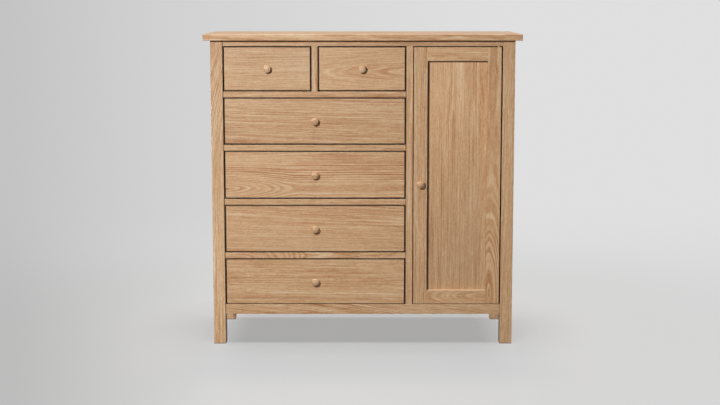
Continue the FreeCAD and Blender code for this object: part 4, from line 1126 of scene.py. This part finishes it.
def sweep_material(studio):
    """Painted paper, with a painted shade to the left and on the floor just before the case. Its real
    shade is softened near the piece, and further off it keeps an even tone.
    """
    made, w, surface = new_material("sweep_paint")
    spot = w.add("ShaderNodeTexCoord").outputs["Object"]
    x, y, _ = w.parts(spot)
    ahead = w.maths("MAXIMUM", w.minus(y, FAN_APEX), 1.0)
    fan = w.plus(0.5, w.maths("DIVIDE", w.maths("DIVIDE", x, ahead), FAN_SPAN))
    far, near = (w.ramp(fan, [(0.5 + place / FAN_SPAN, (share,) * 3) for place, share in tones])
                 for tones in (FAR_TONES, NEAR_TONES))
    tone = w.mixed(w.rise(y, 0.5, 3.6), near, far)
    tone = w.mixed(w.rise(y, -3.5, -1.5), OPEN_TONE, tone)
    aside = w.maths("ABSOLUTE", x)
    # A painted shade on the floor just before the case.
    before = w.times(w.rise(y, -1.02, -0.52), w.fall(y, -0.40, -0.10), w.fall(aside, 0.35, 0.85))
    tone = w.mixed(1.0, tone, w.mixed(before, WHITE, SHADE_BEFORE), "MULTIPLY")
    speckle = w.plus(1.0, w.times(w.swing(spot, (40.0, 40.0, 40.0), 2.0), 0.01))
    paint = w.mixed(1.0, w.lightened(tone, speckle), (*studio.paper, 1.0), "MULTIPLY")
    w.feed_all(surface.inputs, {"Base Color": paint, "Roughness": 0.9, "Specular IOR Level": 0.1})

    glow = w.add("ShaderNodeEmission")
    w.feed_all(glow.inputs, {"Color": paint, "Strength": looked_at(w)})
    away = w.maths("SQRT", w.plus(w.times(x, x), w.times(y, y)))
    # Beside the legs the floor's real shade is partly replaced by its even glow, which paints it lighter.
    by_legs = w.times(w.rise(aside, 0.45, 0.56), w.fall(aside, 0.56, 0.60))
    shade = w.times(studio.shade_share, w.minus(1.0, w.times(by_legs, LIGHT_BY_LEGS)))
    blend = w.add("ShaderNodeMixShader")
    w.feed(blend.inputs[0], w.rise(away, 1.1, 2.6, w.minus(1.0, shade), 1.0))
    w.feed(blend.inputs[1], surface.outputs[0])
    w.feed(blend.inputs[2], glow.outputs[0])
    w.feed(made.node_tree.nodes["Material Output"].inputs["Surface"], blend.outputs[0])
    return made


# Each area lamp: the setting of its power, how wide it is, how high (0 if it is round), where it hangs,
# what it is aimed at and what it lights.
LAMPS = {
    "key_lamp": ("key_watts", 0.35, 0.0, (-1.2, -3.1, 1.98), (0.05, -0.25, 0.62), "all_but_sweep"),
    "foot_lamp": ("foot_watts", 0.3, 0.08, (1.6, -2.2, 0.06), (0.0, 0.2, 0.06), "rear_feet"),
    "left_rear_lamp": ("rear_watts", 0.9, 0.0, (-3.0, 2.4, 0.7), (0.0, 0.0, 0.7), "all_but_sweep"),
    "right_rear_lamp": ("rear_watts", 0.9, 0.0, (3.0, 2.4, 0.7), (0.0, 0.0, 0.7), "all_but_sweep"),
}
OVERHEAD_SPREAD, OVERHEAD_LEAN = math.radians(32.0), math.radians(3.0)
SENSOR_WIDE, CAMERA_SHIFT = 36.0, -0.00386


def receivers(name, things, state="INCLUDE"):
    """The things that a lamp lights, or with EXCLUDE the only ones that it leaves out."""
    made = bpy.data.collections.new(name)
    for thing in things:
        made.objects.link(thing)
    for link in made.collection_objects:
        link.light_linking.link_state = state
    return made


def hang_lamp(name, watts, wide, high, place, target, lit):
    """A soft lamp, round if it has no height, that lights only what lit says."""
    light = bpy.data.lights.new(name, "AREA")
    light.energy = watts
    light.size = wide
    light.shape = "RECTANGLE" if high else "DISK"
    if high:
        light.size_y = high
    lamp = put(name, light)
    lamp.location = place
    lamp.rotation_euler = (Vector(target) - Vector(place)).to_track_quat("-Z", "Y").to_euler()
    lamp.light_linking.receiver_collection = lit


def hang_overhead(strength):
    """A broad light from above, as from a ceiling."""
    light = bpy.data.lights.new("overhead_light", "SUN")
    light.energy = strength
    light.angle = OVERHEAD_SPREAD
    put("overhead_light", light).rotation_euler = (OVERHEAD_LEAN, 0.0, 0.0)


def set_camera(scene, studio):
    """The camera stands before the piece and looks a little down on it."""
    lens = bpy.data.cameras.new("studio_camera")
    lens.sensor_width = SENSOR_WIDE
    lens.lens = studio.lens
    lens.shift_x = CAMERA_SHIFT
    camera = put("studio_camera", lens)
    camera.location = (0.0, -studio.camera_away, studio.camera_high)
    camera.rotation_euler = (math.pi / 2 - studio.camera_dip, 0.0, 0.0)
    scene.camera = camera


class CHIFFOROBE_OT_studio(Operator):
    """Set up the floor, the backdrop, the lamps and the camera."""

    bl_idname = "chifforobe.studio"
    bl_label = "Studio"

    def execute(self, context):
        scene = context.scene
        studio = scene.chifforobe_studio
        sweep = put("studio_sweep", sweep_mesh())
        sweep.data.materials.append(sweep_material(studio))

        world = bpy.data.worlds.new("studio_room")
        world.use_nodes = True
        w = Wiring(world.node_tree)
        w.feed_all(world.node_tree.nodes["Background"].inputs, {
            "Color": WHITE,
            "Strength": w.plus(studio.room, w.times(looked_at(w), WALL_TONE - studio.room)),
        })
        scene.world = world

        rear_posts = [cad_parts[f"rear_{side}_post"] for side in ("left", "right")]
        lit = {
            "all_but_sweep": receivers("all_but_sweep", [sweep], "EXCLUDE"),
            "rear_feet": receivers("rear_feet", rear_posts),
        }
        for name, (power, wide, high, place, target, things) in LAMPS.items():
            hang_lamp(name, getattr(studio, power), wide, high, place, target, lit[things])
        hang_overhead(studio.overhead)
        set_camera(scene, studio)
        scene.view_settings.view_transform = "Standard"
        return {"FINISHED"}


# ---- the add-on ----

OPERATORS = (
    CHIFFOROBE_OT_top, CHIFFOROBE_OT_posts, CHIFFOROBE_OT_front_frame, CHIFFOROBE_OT_side_frames,
    CHIFFOROBE_OT_back, CHIFFOROBE_OT_inside, CHIFFOROBE_OT_drawer_fronts, CHIFFOROBE_OT_drawer_boxes,
    CHIFFOROBE_OT_knobs, CHIFFOROBE_OT_door, CHIFFOROBE_OT_hinges, CHIFFOROBE_OT_catch,
    CHIFFOROBE_OT_hanging_rail, CHIFFOROBE_OT_studio,
)
SETTINGS = {
    "chifforobe_oak": OakSettings,
    "chifforobe_fittings": FittingSettings,
    "chifforobe_studio": StudioSettings,
}


class CHIFFOROBE_PT_panel(Panel):
    """Lists the settings and the pieces."""

    bl_idname = "CHIFFOROBE_PT_panel"
    bl_label = "Chifforobe"
    bl_space_type = "VIEW_3D"
    bl_region_type = "UI"
    bl_category = "Chifforobe"

    def draw(self, context):
        column = self.layout.column()
        for name, kind in SETTINGS.items():
            settings = getattr(context.scene, name)
            box = column.box()
            for setting in kind.__annotations__:
                box.prop(settings, setting)
        for operator in OPERATORS:
            column.operator(operator.bl_idname)


def register():
    for kind in (*SETTINGS.values(), *OPERATORS, CHIFFOROBE_PT_panel):
        bpy.utils.register_class(kind)
    for name, kind in SETTINGS.items():
        setattr(bpy.types.Scene, name, PointerProperty(type=kind))


def unregister():
    for name in SETTINGS:
        delattr(bpy.types.Scene, name)
    for kind in (CHIFFOROBE_PT_panel, *reversed(OPERATORS), *reversed(tuple(SETTINGS.values()))):
        bpy.utils.unregister_class(kind)


def main():
    """Register the add-on and make every piece."""
    register()
    for operator in OPERATORS:
        family, name = operator.bl_idname.split(".")
        getattr(getattr(bpy.ops, family), name)()


if __name__ == "__main__":
    main()
